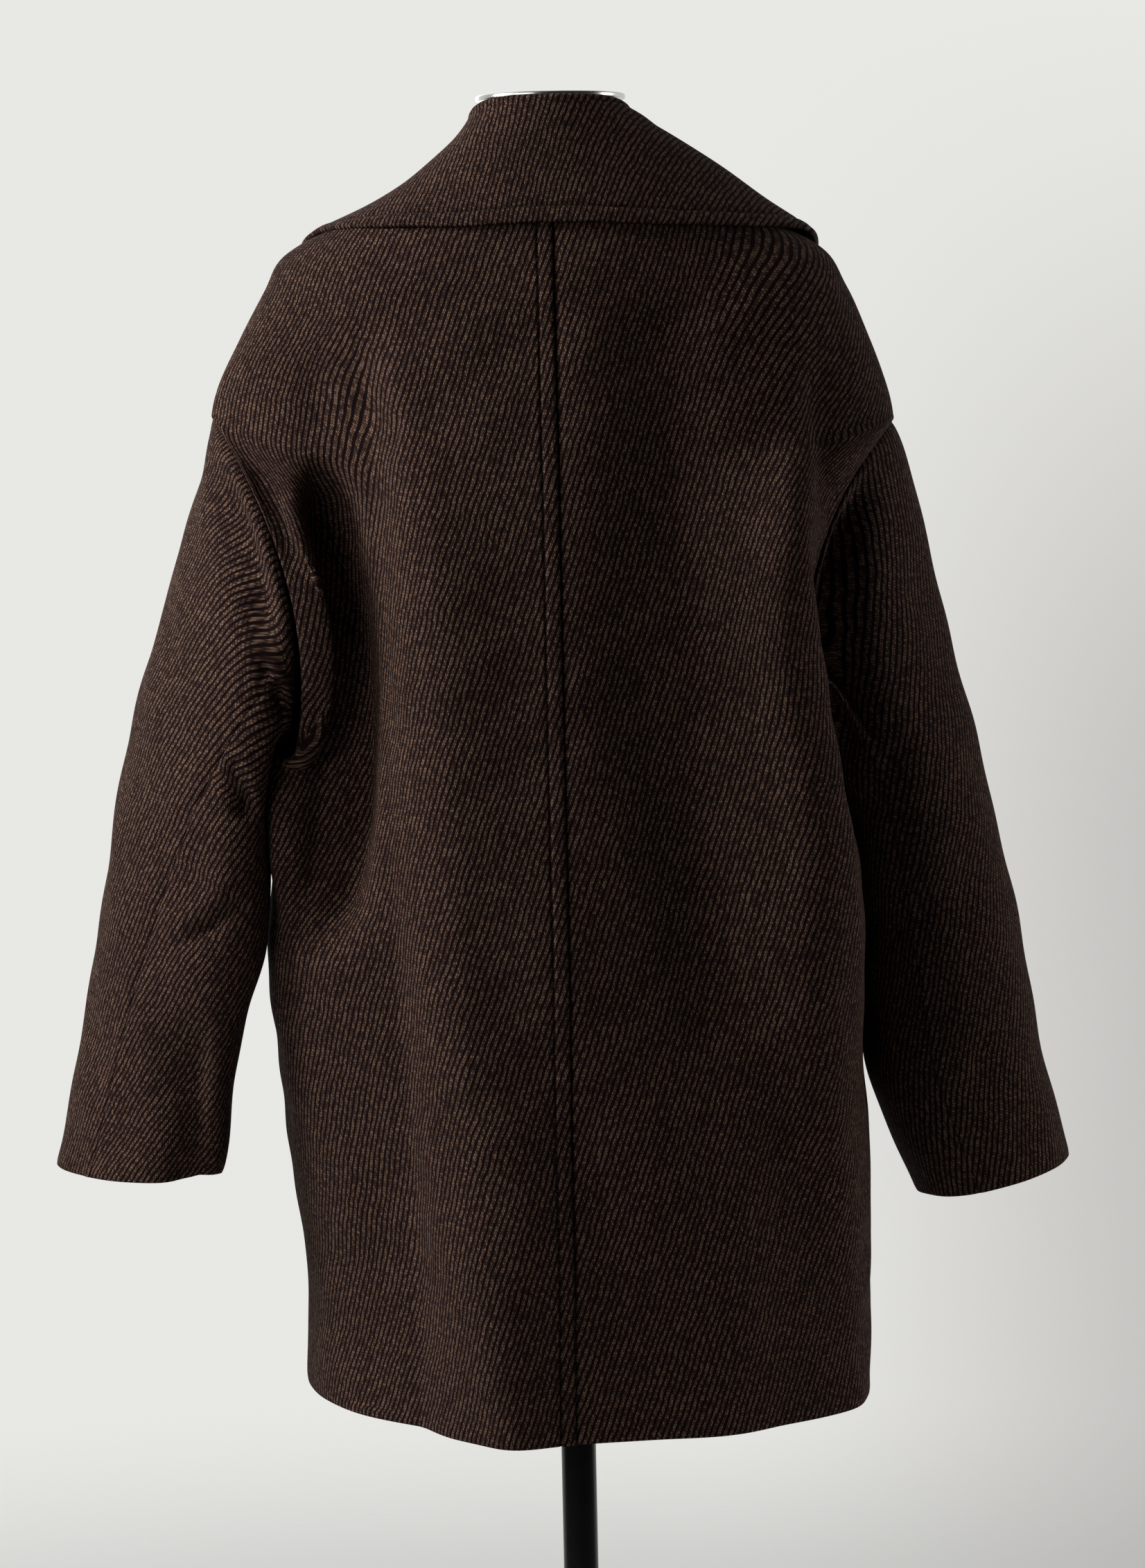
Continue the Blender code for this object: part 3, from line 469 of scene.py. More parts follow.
quarters = {(side, face): bodyQuarter(side, face) for side in ("Left", "Right") for face in ("Back", "Front")}
hemLengths = [quarters[side, "Back"]["lengths"][0] for side in ("Left", "Right")]
print("body drafted, back hem", round(float(sum(hemLengths)), 3))


def quarterLengths(side, face, levels):
    return np.interp(levels, quarters[side, face]["levels"], quarters[side, face]["lengths"])


def readSheet(sheet, level, share):
    rows = np.clip(level / bodyCut["neck"], 0.0, 1.0) * (sheet.shape[0] - 1)
    columns = np.clip(share, 0.0, 1.0) * (sheet.shape[1] - 1)
    i = np.minimum(rows.astype(int), sheet.shape[0] - 2)
    j = np.minimum(columns.astype(int), sheet.shape[1] - 2)
    a, b = (rows - i)[..., None], (columns - j)[..., None]
    low = sheet[i, j] * (1.0 - b) + sheet[i, j + 1] * b
    high = sheet[i + 1, j] * (1.0 - b) + sheet[i + 1, j + 1] * b
    return low * (1.0 - a) + high * a


# Place round the coat: 0 centre back, 0.5 side, 1 centre front, wearer's left positive
def bodyPoint(around, level, onFront=False):
    around, level = np.broadcast_arrays(np.asarray(around, dtype=float), np.asarray(level, dtype=float))
    around = np.where(around > 1.0, around - 2.0, np.where(around < -1.0, around + 2.0, around))
    distance = np.abs(around)
    isFront = (distance > 0.5) | onFront
    isLeft = around >= 0.0
    share = np.where(isFront, 2.0 * (1.0 - distance), 2.0 * distance)
    points = np.zeros((*around.shape, 3))
    for (side, face), quarter in quarters.items():
        mine = (isLeft == (side == "Left")) & (isFront == (face == "Front"))
        points[mine] = readSheet(quarter["sheet"], level[mine], share[mine])
    return points


def bodyNormal(around, level):
    step, rise = 0.004, 0.016
    across = bodyPoint(around + step, level) - bodyPoint(around - step, level)
    above, below = np.minimum(level + rise, bodyCut["neck"]), np.maximum(level - rise, 0.0)
    upward = bodyPoint(around, above) - bodyPoint(around, below)
    normal = np.cross(upward, across)
    return normal / np.linalg.norm(normal, axis=-1, keepdims=True)


# Grids of cloth: even steps, closer at the edges
def closeEnds(length, step, edgeStep=bodyCut["edgeStep"], edgeSteps=bodyCut["edgeSteps"]):
    edge = edgeStep * np.arange(edgeSteps + 1)
    inner = np.linspace(edge[-1], length - edge[-1], max(int(round((length - 2 * edge[-1]) / step)), 2) + 1)
    return np.concatenate([edge[:-1], inner, length - edge[-2::-1]])


def gridNormals(grid):
    normals = np.cross(np.gradient(grid, axis=1), np.gradient(grid, axis=0))
    return normals / np.linalg.norm(normals, axis=2, keepdims=True)


def edgeDistances(grid):
    down, across = runLengths(grid, 0), runLengths(grid, 1)
    return {"first": down, "last": down[-1:] - down, "start": across, "end": across[:, -1:] - across}


# A crease is a soft trough or ridge along a given route of x and z
def smoothRoute(path, steps=8):
    path = np.array(path, dtype=float)
    slopes = np.gradient(path, axis=0) if len(path) > 2 else np.repeat(path[1:] - path[:1], 2, axis=0)
    route = []
    for k in range(len(path) - 1):
        for s in np.linspace(0.0, 1.0, steps, endpoint=False):
            rise = s * s * (3.0 - 2.0 * s)
            route.append(path[k] * (1.0 - rise) + path[k + 1] * rise
                         + slopes[k] * s * (1.0 - s) ** 2 - slopes[k + 1] * s * s * (1.0 - s))
    return np.array(route + [path[-1]])


def creaseHeights(points, creases):
    flat = points[..., (0, 2)].reshape(-1, 2)
    total = np.zeros(len(flat))
    for crease in creases:
        route = smoothRoute(crease["path"])
        starts, runs = route[:-1], np.diff(route, axis=0)
        sizes = np.linalg.norm(runs, axis=1)
        offset = flat[:, None, :] - starts[None]
        share = np.clip(np.sum(offset * runs, axis=2) / sizes ** 2, 0.0, 1.0)
        gaps = offset - share[..., None] * runs
        nearest = np.argmin(np.sum(gaps ** 2, axis=2), axis=1)
        pick = np.arange(len(flat))
        away = np.linalg.norm(gaps[pick, nearest], axis=1)
        turn = runs[nearest, 0] * offset[pick, nearest, 1] - runs[nearest, 1] * offset[pick, nearest, 0]
        before = np.concatenate([[0.0], np.cumsum(sizes)])[nearest]
        done = (before + share[pick, nearest] * sizes[nearest]) / sizes.sum()
        width = np.where(turn > 0.0, crease["width"][0], crease["width"][1])
        fade = smoothStep(0.0, crease["fade"][0], done) * smoothStep(0.0, crease["fade"][1], 1.0 - done)
        total += crease["height"] * fade * np.exp(-(away / width) ** crease["power"])
    return total.reshape(points.shape[:-1])


def crease(path, width, height, fade=(0.35, 0.35), power=2.0):
    width = width if isinstance(width, tuple) else (width, width)
    return {"path": path, "width": width, "height": height, "fade": fade, "power": power}


# slow unevenness of a hanging cloth: a few long waves with fixed phases
def unevenness(points, seed):
    dice = np.random.default_rng(seed)
    total = np.zeros(points.shape[:-1])
    for length, height in ((0.23, 0.0011), (0.13, 0.0008), (0.071, 0.0005), (0.043, 0.0003)):
        for wave in range(3):
            heading = dice.normal(size=3) * (1.0, 1.0, 0.55)
            heading /= np.linalg.norm(heading)
            phase = dice.uniform(0.0, 2.0 * math.pi)
            total += height * np.sin(points @ heading * (2.0 * math.pi / length) + phase)
    return total


# A cloth piece: a grid moved onto its points, with the weave's own metres as its UV map
def gridMesh(grid, weave):
    rows, columns = grid.shape[:2]
    bm = bmesh.new()
    bmesh.ops.create_grid(bm, x_segments=columns - 1, y_segments=rows - 1, size=1.0)
    for vert, point in zip(bm.verts, grid.reshape(-1, 3)):
        vert.co = point
    layer = bm.loops.layers.uv.new("weave")
    flat = weave.reshape(-1, 2)
    for face in bm.faces:
        face.smooth = True
        for loop in face.loops:
            loop[layer].uv = flat[loop.vert.index]
    return bm


def clothPiece(name, node, grid, weave, press, wall=bodyCut["wall"], offset=-1.0, flipped=False):
    if flipped:  # the left half runs the other way round, so its outside is turned out
        grid, weave, press = grid[:, ::-1], weave[:, ::-1], press[:, ::-1]
    bm = gridMesh(grid, weave)
    mesh = bpy.data.meshes.new(name)
    bm.to_mesh(mesh)
    bm.free()
    # painted shade for the colour along seams and grooves
    paintedSeamShade = mesh.attributes.new("press", "FLOAT", "POINT")
    paintedSeamShade.data.foreach_set("value", np.clip(press, 0.0, 1.0).reshape(-1).astype(np.float32))
    piece = addObject(name, mesh)
    mesh.materials.append(finishes["coat"])
    solidify = piece.modifiers.new("wall", "SOLIDIFY")
    solidify.thickness = wall
    solidify.offset = offset
    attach(piece, "root")
    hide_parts(node)
    print("  sewn", name, grid.shape[0], "x", grid.shape[1])
    return piece


def seamRoll(distance, depth, reach):
    return -depth * np.exp(-(distance / reach) ** 1.5)


def line(distance, half):
    return np.exp(-(distance / half) ** 2)


# Welt down the centre back, and the creases of the back as the cloth hangs
backDress = {
    "weltWidth": 0.0112,
    "weltRise": 0.0011,
    "weltSlope": (0.0016, 0.0012),  # before and past the welt's edge
    "weltRoll": (0.0012, 0.0016),  # depth and reach
    "weltZone": 0.0168,
    "weltStep": 0.00045,
    "grooveDepth": 0.0018,
    "grooveHalf": 0.0010,
    "grooveInset": 0.0006,  # from the welt's edge
    "seamDip": (0.0020, 0.0034),
    "hemRoll": (0.0006, 0.0025),
    # widths of the painted shade along seams and round the armhole
    "seamShadeHalf": 0.0011,
    "roll": (0.0011, 0.0030),
    "armholeRoll": {"Left": (0.0036, 0.0056), "Right": (0.0020, 0.0056)},
    "armholeLevels": (1.1, 1.3, 1.8, 1.95),
    "armholeShade": 0.0034,
    "collarLevels": (2.70, 2.8),  # the cloth lies quiet under the collar
    "underCollar": 0.8,
    "stitchLevels": (0.004, 2.80),
    "creaseFade": 0.018,
    "quietReach": 0.014,
    "wavesSeed": 11,
    "weaveFrom": {"Left": (0.031, 0.11), "Right": (0.052, 0.37)},  # where the weave's metres start
    # the cloth's grain turns where the drop shoulders fall over the arms
    "grain": {
        "Left": {"turn": math.radians(9.0), "at": (0.19, 1.20), "across": (0.10, 0.17),
                 "levels": (1.02, 1.12, 1.29, 1.36)},
        "Right": {"turn": math.radians(-16.0), "at": (-0.17, 1.27), "across": (0.10, 0.20),
                  "levels": (1.05, 1.17, 1.50, 1.60)},
    },
    "creases": {
        "Left": [
            crease([(0.190, 1.250), (0.177, 1.195), (0.171, 1.145), (0.172, 1.095), (0.181, 1.050),
                    (0.189, 1.000), (0.196, 0.945)], (0.0085, 0.0070), 0.0165, (0.25, 0.30)),
            crease([(0.180, 1.090), (0.183, 1.050), (0.187, 1.000), (0.192, 0.955), (0.196, 0.915)],
                   0.0090, 0.0110, (0.30, 0.35)),
            crease([(0.168, 1.262), (0.161, 1.200), (0.150, 1.115), (0.149, 1.055), (0.153, 1.000),
                    (0.160, 0.960), (0.171, 0.930), (0.188, 0.905)],
                   (0.0090, 0.0190), -0.0205, (0.12, 0.16), 1.7),
            crease([(0.106, 1.286), (0.112, 1.268), (0.116, 1.250)], (0.0045, 0.0035), -0.0024, (0.4, 0.5)),
            crease([(0.170, 1.330), (0.166, 1.290), (0.160, 1.255)], 0.012, -0.0030, (0.5, 0.4)),
            crease([(0.128, 0.780), (0.140, 0.690), (0.146, 0.585)], 0.020, -0.0030, (0.5, 0.01)),
        ],
        "Right": [
            crease([(-0.158, 1.270), (-0.159, 1.200), (-0.160, 1.130), (-0.168, 1.060), (-0.180, 0.985),
                    (-0.190, 0.900), (-0.196, 0.820)], (0.026, 0.009), 0.0140, (0.20, 0.40)),
            crease([(-0.176, 1.335), (-0.180, 1.300), (-0.184, 1.262), (-0.187, 1.225), (-0.190, 1.190)],
                   (0.011, 0.014), -0.0070, (0.40, 0.25)),
        ],
        "Both": [
            crease([(-0.022, 1.370), (-0.024, 1.200), (-0.026, 1.000), (-0.028, 0.780)],
                   (0.055, 0.085), 0.0075, (0.20, 0.30)),
        ],
    },
}


def rowLevels(face):  # both sides share the left one's rows
    lengths = pathLengths(quarters["Left", face]["sheet"][:, 0])
    return np.interp(closeEnds(lengths[-1], bodyCut["clothStep"]), lengths, quarters["Left", face]["levels"])


def bodyWeave(grid, side, face, start):
    centre = quarters[side, face]["sheet"][:, 0]
    across = runLengths(grid[..., :2], 1)
    up = np.interp(grid[..., 2], centre[:, 2], pathLengths(centre))
    return np.stack([start[0] - sideSign(side) * across, up + start[1]], axis=-1)


def turnGrain(weave, grid, side):
    grain = backDress["grain"][side]
    x, z = grid[..., 0], grid[..., 2]
    low, full, tail, top = grain["levels"]
    share = smoothStep(*grain["across"], abs(x)) * smoothStep(low, full, z) * (1.0 - smoothStep(tail, top, z))
    sine, cosine = np.sin(grain["turn"] * share), np.cos(grain["turn"] * share)
    nearest = np.argmin((x - grain["at"][0]) ** 2 + (z - grain["at"][1]) ** 2 - 0.2 * grid[..., 1])
    pivot = weave.reshape(-1, 2)[nearest]
    u, v = np.moveaxis(weave - pivot, -1, 0)
    return pivot + np.stack([u * cosine + v * sine, v * cosine - u * sine], axis=-1)


bodyShells = {}  # outer points of the body, which the sleeves keep clear of


def underCollar(dress, levels):
    return 1.0 - backDress["underCollar"] * smoothStep(*dress["collarLevels"], levels)


def makeBack(side):
    dress = backDress
    levels = rowLevels("Back")
    lengths = quarterLengths(side, "Back", levels)
    welt = np.arange(0.0, dress["weltZone"], dress["weltStep"])
    edge = bodyCut["edgeStep"] * np.arange(bodyCut["edgeSteps"], -1, -1)
    middle = int(lengths.max() / bodyCut["clothStep"])
    columns = [np.concatenate([welt, np.linspace(dress["weltZone"], length - edge[0], middle)[:-1],
                               length - edge]) for length in lengths]
    around = np.array(columns) / lengths[:, None] / 2.0 * sideSign(side)
    grid = bodyPoint(around, levels[:, None])
    distances = edgeDistances(grid)
    fromCentre, fromSide = distances["start"], distances["end"]
    normals = gridNormals(grid) * -sideSign(side)
    height = creaseHeights(grid, dress["creases"][side] + dress["creases"]["Both"])
    height *= smoothStep(0.0, dress["creaseFade"], fromSide)
    weave = bodyWeave(grid + normals * height[..., None], side, "Back", dress["weaveFrom"][side])
    weave = turnGrain(weave, grid, side)
    quiet = smoothStep(0.0, dress["quietReach"], fromSide) * underCollar(dress, levels)[:, None]
    height += unevenness(grid, dress["wavesSeed"]) * quiet
    height += seamRoll(fromSide, *dress["roll"])
    low, full, tail, top = dress["armholeLevels"]
    atArmhole = (smoothStep(low, full, levels) * (1.0 - smoothStep(tail, top, levels)))[:, None]
    height += seamRoll(fromSide, *dress["armholeRoll"][side]) * atArmhole
    height += seamRoll(distances["first"], *dress["hemRoll"])
    # painted shade along the seams, the welt's groove and the armhole crevice
    press = line(fromCentre, dress["seamShadeHalf"]) + 0.7 * line(fromSide, dress["seamShadeHalf"])
    press += 0.8 * line(fromSide, dress["armholeShade"]) * atArmhole
    if side == "Left":
        groove = dress["weltWidth"] - dress["grooveInset"]
        before, past = dress["weltSlope"]
        slope = smoothStep(dress["weltWidth"] - before, dress["weltWidth"] + past, fromCentre)
        height += dress["weltRise"] * (1.0 - slope)
        height -= dress["grooveDepth"] * line(fromCentre - groove, dress["grooveHalf"])
        height += seamRoll(fromCentre, *dress["weltRoll"])
        press += 0.9 * line(fromCentre - groove, 0.8 * dress["seamShadeHalf"])
    else:
        height += seamRoll(fromCentre, *dress["seamDip"])
    grid = grid + normals * height[..., None]
    bodyShells[side, "Back"] = grid
    return clothPiece("back" + side, "back_" + side.lower(), grid, weave, press, flipped=side == "Left")


frontDress = {
    "overlap": 0.028,
    "lapFull": 0.0294,
    "lapStart": 0.080,
    "lapGap": 0.0008,
    "clothStep": 0.0038,
    "collarLevels": (2.35, 2.5),
    "creaseFade": 0.010,
    "quietReach": 0.014,
    "flatByButtons": (0.020, 0.055),
    "wavesSeed": 23,
    "weaveFrom": {"Left": (0.017, 0.23), "Right": (0.043, 0.61)},
    "creases": [
        crease([(0.160, 1.250), (0.152, 1.160), (0.148, 1.080), (0.158, 0.990), (0.178, 0.920)],
               (0.010, 0.018), -0.0100, (0.3, 0.35)),
        crease([(0.112, 1.280), (0.118, 1.150), (0.122, 1.000), (0.126, 0.860)], 0.018, 0.0040),
        crease([(0.070, 1.240), (0.072, 1.100), (0.078, 0.930)], 0.016, -0.0030),
        crease([(0.094, 0.800), (0.100, 0.700), (0.104, 0.584)], 0.026, 0.0085, (0.6, 0.01)),
        crease([(0.150, 0.780), (0.156, 0.690), (0.158, 0.584)], 0.020, -0.0060, (0.5, 0.01)),
        crease([(-0.158, 1.240), (-0.152, 1.150), (-0.150, 1.060), (-0.160, 0.980), (-0.176, 0.910)],
               (0.016, 0.010), -0.0085, (0.3, 0.35)),
        crease([(-0.108, 1.290), (-0.114, 1.140), (-0.118, 0.990)], 0.018, 0.0035),
        crease([(-0.076, 0.820), (-0.084, 0.700), (-0.088, 0.584)], 0.024, 0.0070, (0.6, 0.01)),
        crease([(-0.136, 0.760), (-0.142, 0.680), (-0.146, 0.584)], 0.018, -0.0050, (0.5, 0.01)),
        crease([(-0.050, 1.230), (-0.064, 1.180), (-0.090, 1.130)], (0.006, 0.008), -0.0022, (0.4, 0.5)),
        crease([(0.046, 1.010), (0.070, 0.970), (0.098, 0.945)], (0.006, 0.008), -0.0020, (0.4, 0.5)),
    ],
}


def makeFront(side):
    dress = frontDress
    levels = rowLevels("Front")
    other = "Right" if side == "Left" else "Left"
    lengths, otherLengths = (quarterLengths(name, "Front", levels) for name in (side, other))
    edge = bodyCut["edgeStep"] * np.arange(bodyCut["edgeSteps"] + 1)
    middle = int((lengths.max() + dress["overlap"]) / dress["clothStep"])
    columns = [np.concatenate([edge[:-1], np.linspace(edge[-1], length + dress["overlap"] - edge[-1], middle),
                               length + dress["overlap"] - edge[-2::-1]]) for length in lengths]
    columns = np.array(columns)
    mine = lengths[:, None]
    around = np.where(columns <= mine, 0.5 + columns / mine / 2.0,
                      1.0 + (columns - mine) / otherLengths[:, None] / 2.0)
    around = around * sideSign(side)
    grid = bodyPoint(around, levels[:, None], onFront=True)
    fromSide = edgeDistances(grid)["start"]
    weave = bodyWeave(grid, side, "Front", dress["weaveFrom"][side])
    normals = gridNormals(grid) * -sideSign(side)
    normals *= np.sign(np.sum(normals * (0.0, -1.0, 0.0), axis=(0, 1)).sum())
    offButtons = smoothStep(*dress["flatByButtons"], np.abs(grid[..., 0]))
    quiet = smoothStep(0.0, dress["quietReach"], fromSide) * underCollar(dress, levels)[:, None] * offButtons
    height = creaseHeights(grid, dress["creases"]) * smoothStep(0.0, dress["creaseFade"], fromSide)
    height *= offButtons
    height += unevenness(grid, dress["wavesSeed"]) * quiet
    height += seamRoll(fromSide, *backDress["roll"])
    if side == "Right":
        toCentre = (1.0 - np.abs(around)) * mine * 2.0
        lap = 1.0 - smoothStep(dress["lapFull"], dress["lapStart"], toCentre)
        height += (bodyCut["wall"] + dress["lapGap"]) * lap
    # painted shade along the side seam
    press = 0.7 * line(fromSide, backDress["seamShadeHalf"])
    grid = grid + normals * height[..., None]
    bodyShells[side, "Front"] = grid
    return clothPiece("front" + side, "front_" + side.lower(), grid, weave, press, flipped=side == "Left")


sleeveDress = {
    "clearGap": 0.0010,  # between sleeve and body below the underarm
    "clearFade": (1.062, 1.096),
    "clearReach": 0.005,
    "clearSpread": 24,  # rounds that ease the push out into the cloth around it
    "grainTurn": {"Left": math.radians(1.0), "Right": 0.0},  # from the sleeve's own line
    "weaveFrom": (0.07, 0.9),
    "wavesSeed": {"Left": 31, "Right": 37},
    "spineSteps": 400,
    "girths": {"Upper": 0.36, "Under": 0.16},
    "quietReach": 0.012,
    "facing": (-0.15, 0.25),
    "frontShare": 0.6,  # creases run on, shallower, round the front
    "seamRoll": (0.0007, 0.0022),
    "cuffRoll": (0.0006, 0.0025),
    "armholeShade": 0.0030,
    "creases": {
        "Left": [
            crease([(0.243, 1.262), (0.232, 1.232), (0.220, 1.200), (0.211, 1.170), (0.204, 1.140),
                    (0.200, 1.110)], (0.014, 0.010), -0.0130, (0.35, 0.35)),
            crease([(0.216, 1.125), (0.205, 1.110), (0.194, 1.090), (0.184, 1.070)],
                   (0.006, 0.005), -0.0065, (0.45, 0.05)),
            crease([(0.238, 1.060), (0.224, 1.030), (0.214, 1.000)], (0.008, 0.006), -0.0050, (0.5, 0.2)),
            crease([(0.226, 1.026), (0.222, 1.014), (0.219, 1.002)], 0.006, -0.0045, (0.5, 0.5)),
            crease([(0.286, 0.908), (0.256, 0.924), (0.222, 0.946)],
                   (0.0030, 0.0045), -0.0042, (0.5, 0.05)),
            crease([(0.290, 0.926), (0.262, 0.938), (0.230, 0.962)], 0.008, 0.0030, (0.5, 0.2)),
            crease([(0.240, 1.142), (0.233, 1.149), (0.225, 1.157)], 0.0045, -0.0016, (0.5, 0.5)),
            crease([(0.275, 1.010), (0.258, 0.985), (0.246, 0.960)], 0.016, -0.0025),
            crease([(0.300, 0.860), (0.285, 0.830), (0.278, 0.790)], 0.018, -0.0025),
            crease([(0.279, 0.770), (0.277, 0.750), (0.276, 0.735)], 0.008, -0.0030, (0.5, 0.05)),
            crease([(0.258, 0.880), (0.262, 0.820), (0.260, 0.775), (0.258, 0.738)],
                   (0.024, 0.010), -0.0100, (0.4, 0.02)),
        ],
        "Right": [
            crease([(-0.222, 1.258), (-0.197, 1.215), (-0.186, 1.160), (-0.186, 1.110), (-0.196, 1.060),
                    (-0.206, 1.020)], (0.010, 0.020), -0.0200, (0.3, 0.3)),
            crease([(-0.240, 1.060), (-0.226, 1.020), (-0.214, 0.990)], 0.012, -0.0035),
            crease([(-0.262, 0.930), (-0.244, 0.916), (-0.226, 0.908)],
                   (0.005, 0.004), -0.0030, (0.5, 0.1)),
            crease([(-0.286, 0.990), (-0.278, 0.950), (-0.276, 0.900)], 0.016, -0.0022),
            crease([(-0.300, 0.850), (-0.292, 0.810), (-0.290, 0.770)], 0.016, -0.0022),
        ],
    },
}


def standClear(side, grid):
    low, high = sleeveDress["clearFade"]
    points = np.concatenate([bodyShells[side, face].reshape(-1, 3) for face in ("Back", "Front")])
    points = points[points[:, 2] < high]
    tree = KDTree(len(points))
    for index, (x, y, z) in enumerate(points):
        tree.insert((0.0, y, z), index)
    tree.balance()
    moved = grid.copy()
    fade = 1.0 - smoothStep(low, high, grid[..., 2])
    for place in map(tuple, np.argwhere(fade > 0.0)):
        x, y, z = grid[place]
        beside = [points[index, 0] * sideSign(side)
                  for spot, index, distance in tree.find_range((0.0, y, z), sleeveDress["clearReach"])]
        short = max(beside, default=-1.0) + sleeveDress["clearGap"] - x * sideSign(side)
        moved[place][0] = x + max(0.0, short) * fade[place] * sideSign(side)
    push = moved - grid
    for again in range(sleeveDress["clearSpread"]):
        eased = push.copy()
        eased[1:-1, 1:-1] = (push[:-2, 1:-1] + push[2:, 1:-1] + push[1:-1, :-2] + push[1:-1, 2:]) / 4.0
        longer = np.linalg.norm(eased, axis=-1) > np.linalg.norm(push, axis=-1)
        push = np.where(longer[..., None], eased, push)
    furthest = np.linalg.norm(push, axis=-1).max()
    print("sleeve", side, "moved clear of the body by up to", round(float(furthest), 4))
    return grid + push


def makeSleeve(side):
    dress = sleeveDress
    steps = np.linspace(0.0, 1.0, dress["spineSteps"])
    spine = sleevePoint(side, steps, math.pi / 2.0)
    middle = spine[dress["spineSteps"] // 2]
    lengths = pathLengths(spine)
    places = np.interp(closeEnds(lengths[-1], sleeveCut["clothStep"]), lengths, steps)
    cuffTurn = sleeveCut["cuffSeamTurn"][side]
    backSeam = np.radians(sleeveCut["seamTurn"] + (cuffTurn - sleeveCut["seamTurn"]) * places)[:, None]
    frontSeam = math.radians(sleeveCut["seamTurn"])
    spans = {"Upper": (-frontSeam, backSeam, 0.0), "Under": (backSeam, 2.0 * math.pi - frontSeam, math.pi)}
    grain = sleevePoint(side, 1.0, 0.0) + sleevePoint(side, 1.0, math.pi) - 2.0 * sleevePoint(side, 0.0, 0.0)
    grain /= np.linalg.norm(grain)
    sine, cosine = math.sin(dress["grainTurn"][side]), math.cos(dress["grainTurn"][side])
    weaveAcross, weaveUp = dress["weaveFrom"]
    pieces = []
    for part, (first, last, straight) in spans.items():
        girth = dress["girths"][part]
        shares = closeEnds(girth, sleeveCut["clothStep"]) / girth
        turns = first + (last - first) * shares[None, :]
        grid = sleevePoint(side, places[:, None], turns)
        distances = edgeDistances(grid)
        fromArmhole = distances["first"]
        normals = gridNormals(grid) * sideSign(side)
        normals *= np.sign(np.sum(normals[..., 0] * (grid[..., 0] - middle[0])
                                  + normals[..., 1] * (grid[..., 1] - middle[1])))
        fromSeam = np.minimum(distances["start"], distances["end"])
        quiet = smoothStep(0.0, dress["quietReach"], np.minimum(fromArmhole, fromSeam))
        facingBack = smoothStep(*dress["facing"], normals[..., 1])
        facingFront = smoothStep(*dress["facing"], -normals[..., 1])
        height = creaseHeights(grid, dress["creases"][side]) * quiet
        height = height * (facingBack + dress["frontShare"] * facingFront)
        creased = grid + normals * height[..., None]
        girths = runLengths(creased - (creased @ grain)[..., None] * grain, 1)
        lines = np.array([np.interp(straight, row, runs) for row, runs in zip(turns, girths)])
        across = sideSign(side) * (girths - lines[:, None]) + weaveAcross
        up = weaveUp - creased @ grain
        weave = np.stack([across * cosine - up * sine, across * sine + up * cosine], axis=-1)
        height += unevenness(grid, dress["wavesSeed"][side]) * quiet
        height += seamRoll(fromArmhole, *backDress["roll"])
        for border in ("start", "end"):
            height += seamRoll(distances[border], *dress["seamRoll"])
        height += seamRoll(fromArmhole, *backDress["armholeRoll"][side]) * facingBack
        height += seamRoll(distances["last"], *dress["cuffRoll"])
        # painted shade along the sleeve seams and round the armhole
        press = 0.5 * sum(line(distances[border], backDress["seamShadeHalf"]) for border in ("start", "end"))
        press += 0.8 * line(fromArmhole, dress["armholeShade"])
        grid = standClear(side, grid + normals * height[..., None])
        node = "sleeve_%s_%s" % (part.lower(), side.lower())
        pieces.append(clothPiece("sleeve" + part + side, node, grid, weave, press, flipped=side == "Left"))
    return pieces


# Turn-down collar: stand and fall in one folded sheet
collarCut = {
    "columns": "around edgeLevel sag lift",
    "rows": [
        (-1.00, 2.42, 0.000, 0.0044),
        (-0.75, 2.52, 0.000, 0.0044),
        (-0.50, 2.665, -0.004, 0.0040),
        (-0.25, 2.785, -0.002, 0.0020),
        (0.00, 2.83, 0.000, 0.0012),
        (0.25, 2.785, 0.003, 0.0012),
        (0.50, 2.69, 0.012, 0.0012),
        (0.75, 2.52, 0.004, 0.0040),
        (1.00, 2.42, 0.000, 0.0044),
    ],
    "wall": 0.0036,
    "seamGap": 0.0003,
    "foldRadiusX": 0.0478,
    "foldBackY": 0.0465,
    "foldFrontY": -0.0495,
    "foldBackZ": 1.4935,
    "foldFrontZ": 1.4560,
    "foldDropPower": 2.0,
    "foldBend": 0.0042,
    "sagPower": 0.6,
    "endTop": 0.965,
    "endEdge": 0.900,
    "placeSteps": 260,
    "standSteps": 8,
    "bendSteps": 8,
    "fallStep": 0.0028,
    "edgeStep": 0.0009,
    "easeRounds": 3,
    "onFall": (0.010, 0.030),
    "edgeBulge": (0.0007, 0.0040),
    "waves": 0.45,
    "wavesSeed": 47,
    "seamShadeHalf": 0.0010,
    "stitchLine": 0.0112,
    "stitchDepth": 0.0013,
    "stitchHalf": 0.0012,
    "coneTurn": 0.83,
    "coneRadius": 0.063,
}


def neckRing(around):
    cut = collarCut
    angle = math.pi * around
    drop = ((1.0 - np.cos(angle)) / 2.0) ** cut["foldDropPower"]
    back, front = cut["foldBackY"], cut["foldFrontY"]
    y = (back + front) / 2.0 + (back - front) / 2.0 * np.cos(angle)
    z = cut["foldBackZ"] + (cut["foldFrontZ"] - cut["foldBackZ"]) * drop
    return np.stack([cut["foldRadiusX"] * np.sin(angle), y, z], axis=-1)


def neckOutward(around):
    angle = math.pi * np.asarray(around, dtype=float)
    return np.stack([np.sin(angle), np.cos(angle), np.zeros_like(angle)], axis=-1)


def standPoint(around, share):
    seam = bodyPoint(around, bodyCut["neck"]) - bodyNormal(around, bodyCut["neck"]) * bodyCut["wall"] / 2.0
    seam[..., 2] += collarCut["seamGap"] + bodyCut["wall"]
    return seam + (neckRing(around) - seam) * share


